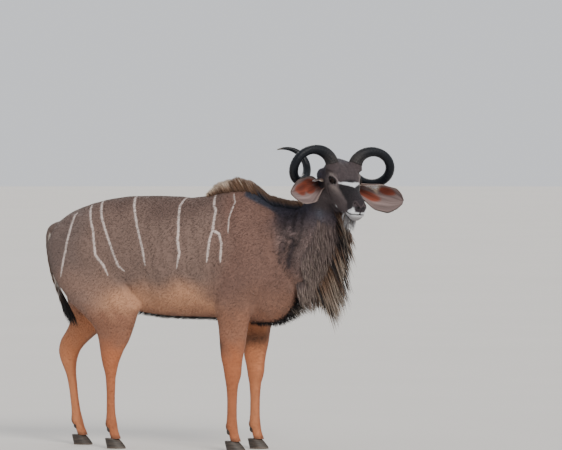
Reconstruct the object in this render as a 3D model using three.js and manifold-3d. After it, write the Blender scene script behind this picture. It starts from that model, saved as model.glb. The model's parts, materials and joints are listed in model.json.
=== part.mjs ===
// Greater kudu bull, standing with its head turned to its right.
// Millimetres. +X is the way the body faces, +Y its left side, +Z up.
// The body is modelled whole, in a frame whose X = 0 is at mid-trunk, and parted with thin cuts.
// At the end the group is moved so that its base centre is the origin.
import * as THREE from "three";
import { mergeVertices } from "three/addons/utils/BufferGeometryUtils.js";
import Module from "manifold-3d";

const wasm = await Module();
wasm.setup();
const { Manifold, Mesh: SolidMesh } = wasm;

// Driving sizes
const GAP = 0.3;
const TRUNK = { sides: 22, rings: 23 };
const NECK = { sides: 20, rings: 13 };
const HEAD = { sides: 22, rings: 22, at: [970, -86, 1364], turn: -47.5, nod: 27.5, roll: -2.7 };
const EYE = { radius: 20, at: [8, 67, 13], look: [0.34, 0.93, 0.14] };
const LID = { halfLength: 24, halfHeight: 16, height: 14, width: 6.5, thick: 6 };
const MOUTH = { corner: 161, front: 246, cornerHeight: -83, frontHeight: -52, groove: 3.2 };
const NOSTRIL = { at: [235, 24, -6], radii: [13, 7, 11] };
const EAR = {
  length: 286, width: 144, wall: 5.5, curl: 30, lobe: 0.25, rootRadius: 27, plugRadius: 34,
  slitHeight: 22, slitRadius: 62, rings: 9, across: 7,
};
const EAR_BASE = { at: [-106, 80, -20], radii: [40, 30, 40] };
const HORN = {
  centre: [-28, 155.4, 67.5], azimuth: 18.6, drop: 23.65, turns: 471, start: -1.7, seat: 10,
  ring: 87, taper: 13.7, widen: 1.12, advance: 190, advancePower: 1.38,
  rootRadius: 33, ringRadius: 22.5, tipRadius: 2.5, steps: 33, sides: 8, keel: 1.16,
};
const FRONT_LEG = { right: { x: 378, y: -120 }, left: { x: 415, y: 120 } };
const HIND_LEG = { right: { reach: 22, y: -120 }, left: { reach: -255, y: 120 } };
const HOOF = { height: 52, length: 98, width: 35, spread: 4 };
const MANE = { from: 212, to: 690, pitch: 15, width: 40, thick: 9, lean: -0.5 };
const FRINGE = { count: 38, width: 36, thick: 10, rootSpread: 28, tipSpread: 40 };
const BRISKET = { count: 18, width: 38, thick: 10, length: 34 };
const BEARD = { count: 7, width: 20, thick: 8, length: 74, root: [196, 16, -106] };
const TUFT = { count: 10, width: 24, thick: 9, length: 108 };
const CUT = { legFront: 640, knee: 330, hock: 395 };

// Small vector and table helpers
const vec = (x, y, z) => new THREE.Vector3(x, y, z);
const rad = THREE.MathUtils.degToRad;
const lerp = THREE.MathUtils.lerp;
const headMatrix = new THREE.Matrix4()
  .makeTranslation(...HEAD.at)
  .multiply(new THREE.Matrix4().makeRotationZ(rad(HEAD.turn)))
  .multiply(new THREE.Matrix4().makeRotationY(rad(HEAD.nod)))
  .multiply(new THREE.Matrix4().makeRotationX(rad(HEAD.roll)));

// A table of stations: the first column is the place, the others run smoothly between rows.
function stations(rows) {
  const slope = (i, c) => {
    if (i <= 0 || i >= rows.length - 1) return 0;
    const before = (rows[i][c] - rows[i - 1][c]) / (rows[i][0] - rows[i - 1][0]);
    const after = (rows[i + 1][c] - rows[i][c]) / (rows[i + 1][0] - rows[i][0]);
    return before * after <= 0 ? 0 : (2 * before * after) / (before + after);
  };
  return (at) => {
    let i = 0;
    while (i < rows.length - 2 && (at - rows[i + 1][0]) * (rows[1][0] - rows[0][0]) > 0) i += 1;
    const step = rows[i + 1][0] - rows[i][0];
    const t = THREE.MathUtils.clamp((at - rows[i][0]) / step, 0, 1);
    return rows[i].map((value, c) => {
      const end = rows[i + 1][c];
      const first = i === 0 ? (end - value) / step : slope(i, c);
      const last = i === rows.length - 2 ? (end - value) / step : slope(i + 1, c);
      const a = 2 * t ** 3 - 3 * t ** 2 + 1;
      const b = t ** 3 - 2 * t ** 2 + t;
      return a * value + b * step * first + (1 - a) * end + (t ** 3 - t ** 2) * step * last;
    });
  };
}

const power = (value, n) => Math.sign(value) * Math.abs(value) ** (2 / n);
const spaced = (from, to, count) => Array.from({ length: count }, (_, i) => lerp(from, to, i / (count - 1)));

// Closed skin over rings of the same number of points: a fan over each end, a strip across it,
// a point at the last end, or no ends where the rings come round to the first one.
function loft(rings, { tip = null, strip = false, round = false } = {}) {
  const points = rings.flat();
  const n = rings[0].length;
  const faces = [];
  for (let r = 0; r + 1 < rings.length; r += 1) {
    for (let i = 0; i < n; i += 1) {
      const a = r * n + i;
      const b = r * n + ((i + 1) % n);
      faces.push(a, b, b + n, a, b + n, a + n);
    }
  }
  const last = (rings.length - 1) * n;
  const fan = (base, reverse) => {
    const centre = rings[base / n].reduce((sum, p) => sum.add(p), vec(0, 0, 0)).divideScalar(n);
    points.push(centre);
    for (let i = 0; i < n; i += 1) {
      const pair = reverse ? [base + ((i + 1) % n), base + i] : [base + i, base + ((i + 1) % n)];
      faces.push(...pair, points.length - 1);
    }
  };
  const bridge = (base, reverse) => {
    for (let i = 0; i < n / 2 - 1; i += 1) {
      const quad = [base + i, base + i + 1, base + n - 2 - i, base + n - 1 - i];
      if (reverse) quad.reverse();
      faces.push(quad[0], quad[1], quad[2], quad[0], quad[2], quad[3]);
    }
  };
  const point = () => {
    points.push(tip);
    for (let i = 0; i < n; i += 1) faces.push(last + i, last + ((i + 1) % n), points.length - 1);
  };
  if (!round) {
    if (strip) bridge(0, true);
    else fan(0, true);
    if (tip) point();
    else if (strip) bridge(last, false);
    else fan(last, false);
  }
  const geometry = new THREE.BufferGeometry();
  geometry.setAttribute("position", new THREE.Float32BufferAttribute(points.flatMap((p) => p.toArray()), 3));
  geometry.setIndex(faces);
  return geometry;
}

function signedVolume(vertices, triangles) {
  const corner = (i) => vec(...vertices.slice(3 * triangles[i], 3 * triangles[i] + 3));
  let sum = 0;
  for (let i = 0; i < triangles.length; i += 3) sum += corner(i).dot(corner(i + 1).cross(corner(i + 2)));
  return sum / 6;
}

// Turns a closed geometry into a solid, facing outwards whichever way its rings were wound.
function solid(geometry, matrix = null) {
  const bare = geometry.clone();
  if (matrix) bare.applyMatrix4(matrix);
  bare.deleteAttribute("normal");
  bare.deleteAttribute("uv");
  const merged = mergeVertices(bare, 1e-4);
  const vertProperties = Float32Array.from(merged.attributes.position.array);
  const triVerts = Uint32Array.from(merged.index.array);
  if (signedVolume(Array.from(vertProperties), triVerts) < 0) {
    for (let i = 0; i < triVerts.length; i += 3) [triVerts[i], triVerts[i + 1]] = [triVerts[i + 1], triVerts[i]];
  }
  return new Manifold(new SolidMesh({ numProp: 3, vertProperties, triVerts }));
}

const join = (...parts) => Manifold.union(parts.flat());

const bySize = (body) => body.decompose().sort((a, b) => b.volume() - a.volume());

function box(low, high) {
  const geometry = new THREE.BoxGeometry(...high.map((value, i) => value - low[i]));
  return solid(geometry.translate(...high.map((value, i) => (value + low[i]) / 2)));
}

// A large block whose face passes through a point, square to a direction and lying beyond it.
function beyond(point, direction, lift = 0, reach = 2400) {
  const geometry = new THREE.BoxGeometry(reach, reach, reach).translate(0, 0, reach / 2 + lift);
  const turn = new THREE.Quaternion().setFromUnitVectors(vec(0, 0, 1), direction.clone().normalize());
  return solid(geometry.applyQuaternion(turn).translate(point.x, point.y, point.z));
}

function ellipsoid(at, radii, matrix = null, detail = [14, 9]) {
  const geometry = new THREE.SphereGeometry(1, ...detail).scale(...radii).translate(...at);
  return solid(geometry, matrix);
}

// Ring in the plane of two axes, as a superellipse with its own upper and lower roundness.
function ring(sides, centre, side, up, half, above, below, roundAbove = 2, roundBelow = 2) {
  return Array.from({ length: sides }, (_, i) => {
    const angle = (2 * Math.PI * i) / sides;
    const upper = Math.sin(angle) >= 0;
    const n = upper ? roundAbove : roundBelow;
    const across = half * power(Math.cos(angle), n);
    const high = (upper ? above : below) * power(Math.sin(angle), n);
    return centre.clone().addScaledVector(side, across).addScaledVector(up, high);
  });
}

// Trunk: place along X, back line, belly line, half width, height of the widest, roundness above and below
const trunkRows = [
  [-641, 1072, 1000, 40, 1032, 2, 2],
  [-625, 1118, 935, 88, 1030, 2, 2],
  [-583, 1170, 866, 138, 1040, 2, 2],
  [-495, 1221, 806, 176, 1030, 1.9, 2],
  [-387, 1257, 752, 196, 1000, 1.9, 2],
  [-278, 1279, 716, 208, 960, 1.9, 2],
  [-150, 1288, 692, 220, 940, 1.9, 2],
  [0, 1289, 678, 232, 930, 1.9, 2],
  [110, 1283, 675, 233, 930, 1.85, 2],
  [210, 1291, 672, 222, 940, 1.75, 2],
  [300, 1312, 664, 205, 960, 1.6, 2],
  [390, 1322, 652, 190, 980, 1.5, 2],
  [470, 1304, 643, 178, 990, 1.5, 2],
  [560, 1250, 645, 160, 980, 1.7, 2],
  [640, 1172, 682, 132, 950, 2, 2],
  [690, 1080, 760, 98, 920, 2, 2],
  [712, 1000, 840, 52, 915, 2, 2],
];

function trunk() {
  const at = stations(trunkRows);
  const [rear, front] = [trunkRows[0][0], trunkRows[trunkRows.length - 1][0]];
  const places = spaced(0, Math.PI, TRUNK.rings).map((angle) => lerp(rear, front, 0.5 - 0.5 * Math.cos(angle)));
  const rings = places.map((x) => {
    const [, top, bottom, half, middle, above, below] = at(x);
    return ring(TRUNK.sides, vec(x, 0, middle), vec(0, 1, 0), vec(0, 0, 1), half, top - middle, middle - bottom,
      above, below);
  });
  return solid(loft(rings));
}

// Neck: share of its length, centre X, Y, Z, lean of its axis, half depth, half width, turn about the axis
const neckRows = [
  [0, 500, 0, 985, 38, 240, 150, 0],
  [0.14, 622, 0, 1030, 36, 262, 138, 0],
  [0.28, 692, 0, 1066, 34, 212, 124, 0],
  [0.42, 757, -1, 1112, 42, 168, 109, -4],
  [0.57, 808, -3, 1176, 62, 130, 97, -12],
  [0.71, 836, -3, 1250, 72, 108, 84, -24],
  [0.86, 858, 0, 1326, 74, 92, 74, -36],
  [1, 878, 0, 1385, 74, 66, 58, -44],
];

function neck() {
  const at = stations(neckRows);
  const rings = spaced(0, 1, NECK.rings).map((share) => {
    const [, x, y, z, lean, depth, half, turn] = at(share);
    const side = vec(0, 1, 0).applyAxisAngle(vec(0, 0, 1), rad(turn));
    const along = vec(Math.cos(rad(lean)), 0, Math.sin(rad(lean))).applyAxisAngle(vec(0, 0, 1), rad(turn));
    return ring(NECK.sides, vec(x, y, z), side, side.clone().cross(along).negate(), half, depth, depth, 2, 2);
  });
  return solid(loft(rings));
}

// Head, in its own frame: place along the face, top line, jaw line, half width, height of the widest, roundness
const headRows = [
  [-170, 34, -28, 26, 2, 2, 2],
  [-157, 56, -62, 50, 3, 2, 2],
  [-128, 66, -98, 70, 3, 2.2, 2],
  [-88, 74, -128, 83, 0, 2.8, 2],
  [-50, 76, -148, 85, -4, 3, 1.8],
  [-12, 70, -152, 85, -4, 2.7, 1.8],
  [18, 58, -150, 79, -8, 2.3, 1.8],
  [48, 48, -143, 69, -16, 2.2, 1.9],
  [84, 40, -136, 56, -26, 2.1, 1.9],
  [122, 35, -127, 45, -32, 2.1, 2],
  [162, 29, -118, 38, -34, 2.2, 2.2],
  [198, 24, -110, 38, -34, 2.3, 2.4],
  [222, 14, -98, 40, -34, 2.4, 2.5],
  [240, -2, -78, 31, -32, 2.3, 2.3],
  [248, -18, -58, 12, -32, 2, 2],
];
const headAt = stations(headRows);

// Half width of the head at a place along the face and a height below its widest
function cheek(x, z) {
  const [, , bottom, half, middle, , below] = headAt(x);
  const drop = Math.min(1, Math.abs((z - middle) / (middle - bottom)));
  return half * (1 - drop ** below) ** (1 / below);
}

function muzzleGroove() {
  const spine = spaced(-1, 1, 13).map((t) => {
    const x = lerp(MOUTH.front, MOUTH.corner, Math.abs(t) ** 1.6);
    const z = lerp(MOUTH.frontHeight, MOUTH.cornerHeight, Math.abs(t) ** 1.4);
    return vec(x, Math.sign(t) * cheek(x, z), z);
  });
  const rings = spine.map((point, i) => {
    const ahead = spine[Math.min(i + 1, spine.length - 1)].clone().sub(spine[Math.max(i - 1, 0)]).normalize();
    const out = ahead.clone().cross(vec(0, 0, 1)).normalize();
    return ring(5, point, out, vec(0, 0, 1), MOUTH.groove * 2, MOUTH.groove, MOUTH.groove);
  });
  return solid(loft(rings), headMatrix);
}

function eyeFrame(sideSign) {
  const look = vec(EYE.look[0], EYE.look[1] * sideSign, EYE.look[2]).normalize();
  const along = vec(1, 0, 0).addScaledVector(look, -look.x).normalize();
  const basis = new THREE.Matrix4().makeBasis(along, look.clone().cross(along), look);
  basis.setPosition(EYE.at[0], EYE.at[1] * sideSign, EYE.at[2]);
  return headMatrix.clone().multiply(basis);
}

// Lids: an almond rim round the eye, standing a little proud of the face
function lidRim(sideSign) {
  const rings = spaced(0, 2 * Math.PI, 15).slice(0, 14).map((angle) => {
    const out = vec(Math.cos(angle), Math.sin(angle), 0);
    const centre = vec(LID.halfLength * Math.cos(angle), LID.halfHeight * Math.sin(angle), LID.height);
    return ring(5, centre, out, vec(0, 0, 1), LID.width, LID.thick, LID.thick + 2);
  });
  rings.push(rings[0]);
  return solid(loft(rings, { round: true }), eyeFrame(sideSign));
}

function eyeBall(sideSign, grow = 0) {
  return solid(new THREE.SphereGeometry(EYE.radius + grow, 12, 8), eyeFrame(sideSign));
}

// Horn spiral in the head's frame, as an angle in degrees from the root
function hornPath(degrees) {
  const azimuth = rad(HORN.azimuth);
  const drop = rad(HORN.drop);
  const axis = vec(-Math.cos(drop) * Math.cos(azimuth), Math.cos(drop) * Math.sin(azimuth), -Math.sin(drop));
  const outward = axis.clone().cross(vec(0, 0, 1)).normalize().negate();
  if (outward.y < 0) outward.negate();
  const upward = axis.clone().cross(outward).normalize();
  if (upward.z < 0) upward.negate();
  const radius = HORN.ring - (HORN.taper * Math.max(0, degrees)) / HORN.turns;
  const angle = rad(HORN.start + degrees);
  const turnShare = degrees / 360;
  const run = Math.sign(turnShare) * HORN.advance * Math.abs(turnShare) ** HORN.advancePower;
  return vec(...HORN.centre)
    .addScaledVector(axis, run)
    .addScaledVector(outward, -Math.cos(angle) * radius * HORN.widen)
    .addScaledVector(upward, Math.sin(angle) * radius);
}

const hornRadiusAt = stations([
  [-30, HORN.rootRadius * 1.02],
  [0, HORN.rootRadius],
  [22, HORN.rootRadius * 0.9],
  [49, HORN.ringRadius * 1.18],
  [108, HORN.ringRadius],
  [177, HORN.ringRadius * 1.03],
  [246, HORN.ringRadius * 0.99],
  [354, HORN.ringRadius * 0.88],
  [423, HORN.ringRadius * 0.52],
  [460, HORN.ringRadius * 0.2],
  [HORN.turns, HORN.tipRadius],
]);

const mirrorY = (sideSign) => new THREE.Matrix4().makeScale(1, sideSign, 1);
const onHead = (sideSign) => headMatrix.clone().multiply(mirrorY(sideSign));

// Horn from one angle of its spiral to another, with its radius grown where room is cut for it
function horn(sideSign, from = HORN.seat, to = HORN.turns, grow = 0) {
  const steps = Math.max(4, Math.round(((to - from) / HORN.turns) * HORN.steps));
  const rings = spaced(from, to, steps).map((degrees) => {
    const point = hornPath(degrees);
    const ahead = hornPath(degrees + 2).sub(hornPath(degrees - 2)).normalize();
    const inward = vec(...HORN.centre).sub(point);
    const side = inward.addScaledVector(ahead, -inward.dot(ahead)).normalize();
    const radius = hornRadiusAt(degrees)[1] + grow;
    const twist = rad(degrees * 0.5);
    return Array.from({ length: HORN.sides }, (_, i) => {
      const angle = (2 * Math.PI * i) / HORN.sides + twist;
      const reach = radius * (i === 0 ? HORN.keel : 1);
      const across = ahead.clone().cross(side);
      return point.clone().addScaledVector(side, Math.cos(angle) * reach)
        .addScaledVector(across, Math.sin(angle) * reach);
    });
  });
  return solid(loft(rings), onHead(sideSign));
}

function slit(point, direction, radius, matrix = null) {
  const geometry = new THREE.CylinderGeometry(radius, radius, GAP, 20);
  const turn = new THREE.Quaternion().setFromUnitVectors(vec(0, 1, 0), direction.clone().normalize());
  return solid(geometry.applyQuaternion(turn).translate(point.x, point.y, point.z), matrix);
}

// Ear: a cupped leaf with a tube at its root. Share of its length, half width, angle that the wall wraps
const earAt = stations([
  [0, 0.38, 300],
  [0.14, 0.42, 262],
  [0.32, 0.64, 205],
  [0.55, 1, 160],
  [0.75, 0.98, 130],
  [0.9, 0.64, 105],
  [0.985, 0.2, 90],
]);
const EAR_ROOT = vec(-92, 80, -60);
const EAR_WAY = { left: vec(0.378, 0.921, -0.099), right: vec(0.52, 0.85, 0.05) };
const EAR_TWIST = { left: 13.9, right: -3.1 };
const EAR_OPEN = vec(0.76, -0.42, 0.5);

function earFrame(sideSign) {
  const label = sideSign > 0 ? "left" : "right";
  const way = EAR_WAY[label].clone().normalize();
  const open = EAR_OPEN.clone().addScaledVector(way, -EAR_OPEN.dot(way)).normalize();
  open.applyAxisAngle(way, rad(EAR_TWIST[label]));
  return { way, open, side: way.clone().cross(open) };
}

function ear(sideSign) {
  const { way, open, side } = earFrame(sideSign);
  const rings = spaced(0, 0.985, EAR.rings).map((share) => {
    const [, width, wrap] = earAt(share);
    const half = (width * EAR.width) / 2;
    const spread = rad(wrap) / 2;
    const radius = half / Math.sin(Math.min(spread, Math.PI / 2));
    const back = EAR_ROOT.clone().addScaledVector(way, share * EAR.length)
      .addScaledVector(open, EAR.curl * share ** 2)
      .addScaledVector(side, EAR.lobe * EAR.width * share * (1 - share));
    const centre = back.clone().addScaledVector(open, radius - EAR.rootRadius * 0.5);
    const wall = lerp(EAR.wall * 1.3, EAR.wall * 0.7, share);
    const arc = (reach, order) => order.map((t) => {
      const angle = spread * t;
      return centre.clone().addScaledVector(open, -Math.cos(angle) * reach)
        .addScaledVector(side, Math.sin(angle) * reach);
    });
    const across = spaced(-1, 1, EAR.across);
    return [...arc(radius, across), ...arc(radius - wall, across.slice().reverse())];
  });
  const shell = solid(loft(rings, { strip: true }), onHead(sideSign));
  const plug = ellipsoid(EAR_ROOT.toArray(), Array(3).fill(EAR.plugRadius), onHead(sideSign), [10, 7]);
  return join(shell, plug);
}

function earSlit(sideSign) {
  const { way } = earFrame(sideSign);
  return slit(EAR_ROOT.clone().addScaledVector(way, EAR.slitHeight), way, EAR.slitRadius, onHead(sideSign));
}

// Swelling of the skull under the ear, flat where the ear stands on it
function earBase(sideSign) {
  const { way } = earFrame(sideSign);
  const place = onHead(sideSign);
  const top = EAR_ROOT.clone().addScaledVector(way, EAR.slitHeight).applyMatrix4(place);
  const bulge = ellipsoid(EAR_BASE.at, EAR_BASE.radii, place, [10, 7]);
  return bulge.subtract(beyond(top, way.transformDirection(place)));
}

// Front leg: height, front edge and rear edge from the leg's own line, half width, distance inwards
const frontLegRows = [
  [1215, 60, -50, 40, 42],
  [1080, 180, -66, 68, 14],
  [960, 240, -74, 76, 4],
  [880, 232, -80, 77, 0],
  [800, 172, -90, 70, -3],
  [740, 124, -90, 62, -3],
  [690, 104, -84, 56, -2],
  [620, 87, -72, 50, 0],
  [540, 75, -67, 44, 1],
  [470, 60, -60, 40, 2],
  [430, 54, -50, 40, 2],
  [398, 52, -44, 41, 2],
  [362, 44, -38, 38, 2],
  [332, 35, -33, 31, 2],
  [250, 29, -28, 25, 2],
  [182, 28, -29, 25, 2],
  [150, 29, -31, 29, 2],
  [122, 32, -36, 33, 2],
  [98, 35, -26, 29, 2],
  [74, 42, -15, 27, 2],
  [HOOF.height + GAP, 52, -9, 31, 2],
];

// Hind leg: height, front edge and rear edge along X, half width, distance inwards, share of the reach
const hindLegRows = [
  [1190, -250, -540, 52, 46, 0],
  [1100, -196, -606, 78, 22, 0],
  [1020, -162, -632, 88, 6, 0.02],
  [940, -140, -620, 92, 0, 0.08],
  [860, -124, -590, 92, -4, 0.2],
  [790, -114, -542, 88, -6, 0.34],
  [730, -120, -495, 81, -6, 0.48],
  [680, -146, -447, 71, -4, 0.62],
  [630, -166, -400, 59, -2, 0.8],
  [580, -188, -378, 48, 0, 0.98],
  [540, -208, -372, 40, 2, 1.1],
  [500, -234, -368, 36, 3, 1.16],
  [470, -248, -363, 37, 3, 1.18],
  [430, -264, -354, 38, 3, 1.17],
  [390, -273, -342, 33, 3, 1.15],
  [350, -279, -335, 28, 3, 1.12],
  [250, -281, -330, 24, 3, 1.07],
  [182, -278, -330, 25, 3, 1.04],
  [150, -273, -332, 29, 3, 1.03],
  [122, -268, -336, 33, 3, 1.02],
  [98, -264, -324, 29, 3, 1.01],
  [74, -256, -312, 27, 3, 1],
  [HOOF.height + GAP, -245, -304, 31, 3, 1],
];

function legRings(rows, sides, centreOf) {
  return rows.map((row) => {
    const [height, front, rear, half] = row;
    const { x, y } = centreOf(row);
    const depth = (front - rear) / 2;
    return ring(sides, vec(x + (front + rear) / 2, y, height), vec(0, 1, 0), vec(1, 0, 0), half, depth, depth, 2.2, 2);
  });
}

function frontLeg({ x, y }) {
  return solid(loft(legRings(frontLegRows, 12, (row) => ({ x, y: y - Math.sign(y) * row[4] }))));
}

function hindLeg({ reach, y }) {
  return solid(loft(legRings(hindLegRows, 12, (row) => ({ x: reach * row[5], y: y - Math.sign(y) * row[4] }))));
}

// Dew claws: a pair of small blunt cones at the back of each fetlock
function dewClaws(x, y) {
  return [-1, 1].map((side) => ellipsoid([x, y + side * 17, 104], [13, 9, 19], null, [8, 6]));
}

// One claw: sole outline pointed in front, drawn in towards the top and leaning back
function claw(x, y, sideSign) {
  const rows = [[0, 1, 0], [26, 0.9, -8], [HOOF.height, 0.72, -20]];
  const rings = rows.map(([height, scale, lean]) => Array.from({ length: 12 }, (_, i) => {
    const angle = (2 * Math.PI * i) / 12;
    const along = 0.5 * (1 + Math.cos(angle));
    const width = HOOF.width * (1 - 0.62 * along ** 3) * Math.abs(Math.sin(angle)) ** 0.8;
    const outer = Math.sign(Math.sin(angle)) === sideSign ? 1 : 0.12;
    const across = Math.sign(Math.sin(angle)) * width * outer * scale;
    return vec(x + lean + (along - 0.3) * HOOF.length * scale, y + across, height);
  }));
  return solid(loft(rings));
}

// Tail: share of its length, X, Z and radius of its line, which follows the buttocks down
const tailAt = stations([
  [0, -600, 1128, 30],
  [0.1, -645, 1116, 26],
  [0.2, -666, 1080, 21],
  [0.34, -670, 1026, 17],
  [0.6, -656, 930, 14],
  [0.85, -628, 838, 12],
  [1, -603, 784, 12],
  [1.2, -560, 712, 8],
]);

function tail() {
  const rings = spaced(0, 1.2, 15).map((share) => {
    const [, x, z, radius] = tailAt(share);
    const [, x2, z2] = tailAt(Math.min(1.2, share + 0.02));
    const [, x1, z1] = tailAt(Math.max(0, share - 0.02));
    const along = vec(x2 - x1, 0, z2 - z1).normalize();
    return ring(10, vec(x, 0, z), vec(0, 1, 0), vec(0, 1, 0).cross(along), radius * 1.25, radius, radius);
  });
  return solid(loft(rings));
}

// Repeatable draw of numbers from 0 to 1
function seeded(seed) {
  let state = seed;
  return () => {
    state = (state * 1664525 + 1013904223) % 4294967296;
    return state / 4294967296;
  };
}

// Lock of hair: flat, tapered and bent, from a root inside the skin to a point at its tip
function lock(root, tip, { width, thick, bend = vec(0, 0, 0), flat = vec(0, 1, 0), sink = 14 }) {
  const way = tip.clone().sub(root);
  const start = root.clone().addScaledVector(way.clone().normalize(), -sink);
  const shape = [[0, 0.8], [0.32, 1], [0.66, 0.84], [0.9, 0.46]];
  const along = (t) => start.clone().lerp(tip, t).addScaledVector(bend, 4 * t * (1 - t));
  const rings = shape.map(([t, scale]) => {
    const ahead = along(t + 0.05).sub(along(t - 0.05)).normalize();
    const across = flat.clone().addScaledVector(ahead, -flat.dot(ahead)).normalize();
    const outward = ahead.clone().cross(across);
    return ring(4, along(t), across, outward, (width * scale) / 2, (thick * scale) / 2, (thick * scale) / 2);
  });
  return solid(loft(rings, { tip }));
}

// Crest over the withers and along the nape: skin height and tip height above it
const maneAt = stations([
  [205, 1288, 8],
  [250, 1300, 34],
  [300, 1311, 50],
  [372, 1320, 60],
  [430, 1320, 66],
  [500, 1296, 62],
  [563, 1258, 52],
  [640, 1226, 42],
  [700, 1216, 34],
]);

function mane(from, to, seed) {
  const draw = seeded(seed);
  const count = Math.round((to - from) / MANE.pitch);
  return spaced(from, to, count).map((x, i) => {
    const [, skin, height] = maneAt(x);
    const y = [-13, 9, -5, 14, 0][i % 5] + 4 * (draw() - 0.5);
    const high = height * (0.82 + 0.3 * draw());
    const root = vec(x, y, skin - 10 - Math.abs(y) * 0.6);
    const tip = vec(x + MANE.lean * high + 10 * (draw() - 0.5), y * 1.5 + 8 * (draw() - 0.5), skin + high);
    const flat = vec(1, 0.5 * (draw() - 0.5), 0.4);
    return lock(root, tip, { width: MANE.width, thick: MANE.thick, flat, bend: vec(-5, 0, 3), sink: 16 });
  });
}

// Throat fringe: share of its line from chin to chest, root X and Z, tip X and Z
const fringeAt = stations([
  [0, 912, 1206, 968, 1075],
  [0.16, 931, 1140, 982, 985],
  [0.34, 912, 1055, 974, 850],
  [0.5, 880, 985, 958, 745],
  [0.66, 842, 925, 930, 662],
  [0.8, 806, 884, 894, 632],
  [0.9, 784, 862, 846, 696],
  [1, 738, 850, 734, 744],
]);

function fringe() {
  const draw = seeded(71);
  return spaced(0, 1, FRINGE.count).map((share, i) => {
    const [, rootX, rootZ, tipX, tipZ] = fringeAt(share);
    const side = [-1, 0.35, -0.3, 1, 0][i % 5];
    const back = Math.abs(side) * 14;
    const root = vec(rootX - back, side * FRINGE.rootSpread - 4, rootZ + 6);
    const reach = 0.78 + 0.26 * draw();
    const y = side * FRINGE.tipSpread + 16 * (draw() - 0.5) - 6;
    const tip = root.clone().lerp(vec(tipX + 10 * (draw() - 0.5), y, tipZ), reach);
    const bend = vec(10 + 8 * draw(), side * 5, -2);
    const flat = i % 3 === 0 ? vec(0.4, 1, 0.2) : vec(1, 0.5 * side, 0.3);
    return lock(root, tip, { width: FRINGE.width, thick: FRINGE.thick, bend, flat, sink: 20 });
  });
}

// Bristly hair under the brisket: place along X and height of its roots
const brisketAt = stations([
  [0, 430, 652],
  [0.3, 520, 646],
  [0.55, 600, 662],
  [0.75, 655, 705],
  [1, 704, 790],
]);

function brisketHair() {
  const draw = seeded(19);
  return spaced(0, 1, BRISKET.count).map((share, i) => {
    const [, x, z] = brisketAt(share);
    const side = [-1, 1, 0, -0.5, 0.6][i % 5];
    const root = vec(x, side * 24, z + 8 + Math.abs(side) * 4);
    const length = BRISKET.length * (0.7 + 0.4 * draw());
    const tip = root.clone().add(vec(length * (0.32 + 0.45 * share), side * 6, -length * (0.95 - 0.35 * share)));
    const flat = vec(1, 0.3 * side, 0.5);
    return lock(root, tip, { width: BRISKET.width, thick: BRISKET.thick, bend: vec(5, 0, 0), flat, sink: 16 });
  });
}

// Tuft under the chin, in the head's frame and hanging straight down
function beard() {
  const draw = seeded(5);
  return Array.from({ length: BEARD.count }, (_, i) => {
    const side = [-0.9, 0, 0.9, -0.4, 0.5][i % 5];
    const root = headMatrixPoint(BEARD.root[0] - 9 * i, side * BEARD.root[1], BEARD.root[2] - 1.5 * i);
    const length = BEARD.length * (0.75 + 0.35 * draw());
    const tip = root.clone().add(vec(-4 - 8 * draw(), side * 4, -length));
    return lock(root, tip, { width: BEARD.width, thick: BEARD.thick, bend: vec(4, -4, 0), sink: 14 });
  });
}

// Tail tuft: locks round the end of the tail, pointing down
function tailTuft() {
  const draw = seeded(33);
  return Array.from({ length: TUFT.count }, (_, i) => {
    const angle = i * 2.4;
    const out = vec(0.7 * Math.cos(angle), Math.sin(angle), 0);
    const [, x, z] = tailAt(0.96 + 0.024 * i);
    const root = vec(x, 0, z).addScaledVector(out, 7);
    const tip = vec(lerp(x, -530, 0.8), 0, z - TUFT.length - 26 * draw()).addScaledVector(out, 13 + 11 * draw());
    const flat = vec(-out.y, out.x, 0);
    return lock(root, tip, { width: TUFT.width, thick: TUFT.thick, bend: out.clone().multiplyScalar(7), flat, sink: 10 });
  });
}

function headMatrixPoint(x, y, z) {
  return vec(x, y, z).applyMatrix4(headMatrix);
}

function headMatrixWay(x, y, z) {
  return vec(x, y, z).transformDirection(headMatrix);
}

// Planes that part the trunk from what grows from it
const groinPlane = { point: vec(-95, 0, 662), out: vec(-0.275, 0, -0.961) };
const neckPlane = { point: vec(553, 0, 1270), out: vec(0.9, 0, 0.436) };
const pollPlane = { point: headMatrixPoint(-116, 0, -20), out: headMatrixWay(0.93, 0, 0.36) };
const throatPlane = { point: vec(905, -20, 1216), out: vec(0.22, -0.2, 0.95) };
const tailPlane = { point: vec(-672, 0, 1102), out: vec(-0.72, 0, -0.69) };

const finish = {
  coat: { color: 0x7c6a5c, roughness: 0.85, metalness: 0 },
  neckCoat: { color: 0x6d6259, roughness: 0.85, metalness: 0 },
  legCoat: { color: 0xa87245, roughness: 0.85, metalness: 0 },
  ear: { color: 0xb08a76, roughness: 0.8, metalness: 0 },
  horn: { color: 0x2a2420, roughness: 0.45, metalness: 0 },
  hoof: { color: 0x1e1a17, roughness: 0.5, metalness: 0 },
  eye: { color: 0x0d0a08, roughness: 0.08, metalness: 0 },
};

const kudu = new THREE.Group();

function add(name, body, material) {
  const mesh = bySize(body.simplify(0.1))[0].getMesh();
  const geometry = new THREE.BufferGeometry();
  geometry.setAttribute("position", new THREE.BufferAttribute(Float32Array.from(mesh.vertProperties), 3));
  geometry.setIndex(new THREE.BufferAttribute(Uint32Array.from(mesh.triVerts), 1));
  geometry.computeVertexNormals();
  const node = new THREE.Mesh(geometry, new THREE.MeshStandardMaterial(material));
  node.name = name;
  kudu.add(node);
}

const SIDES = [["right", -1], ["left", 1]];

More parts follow.
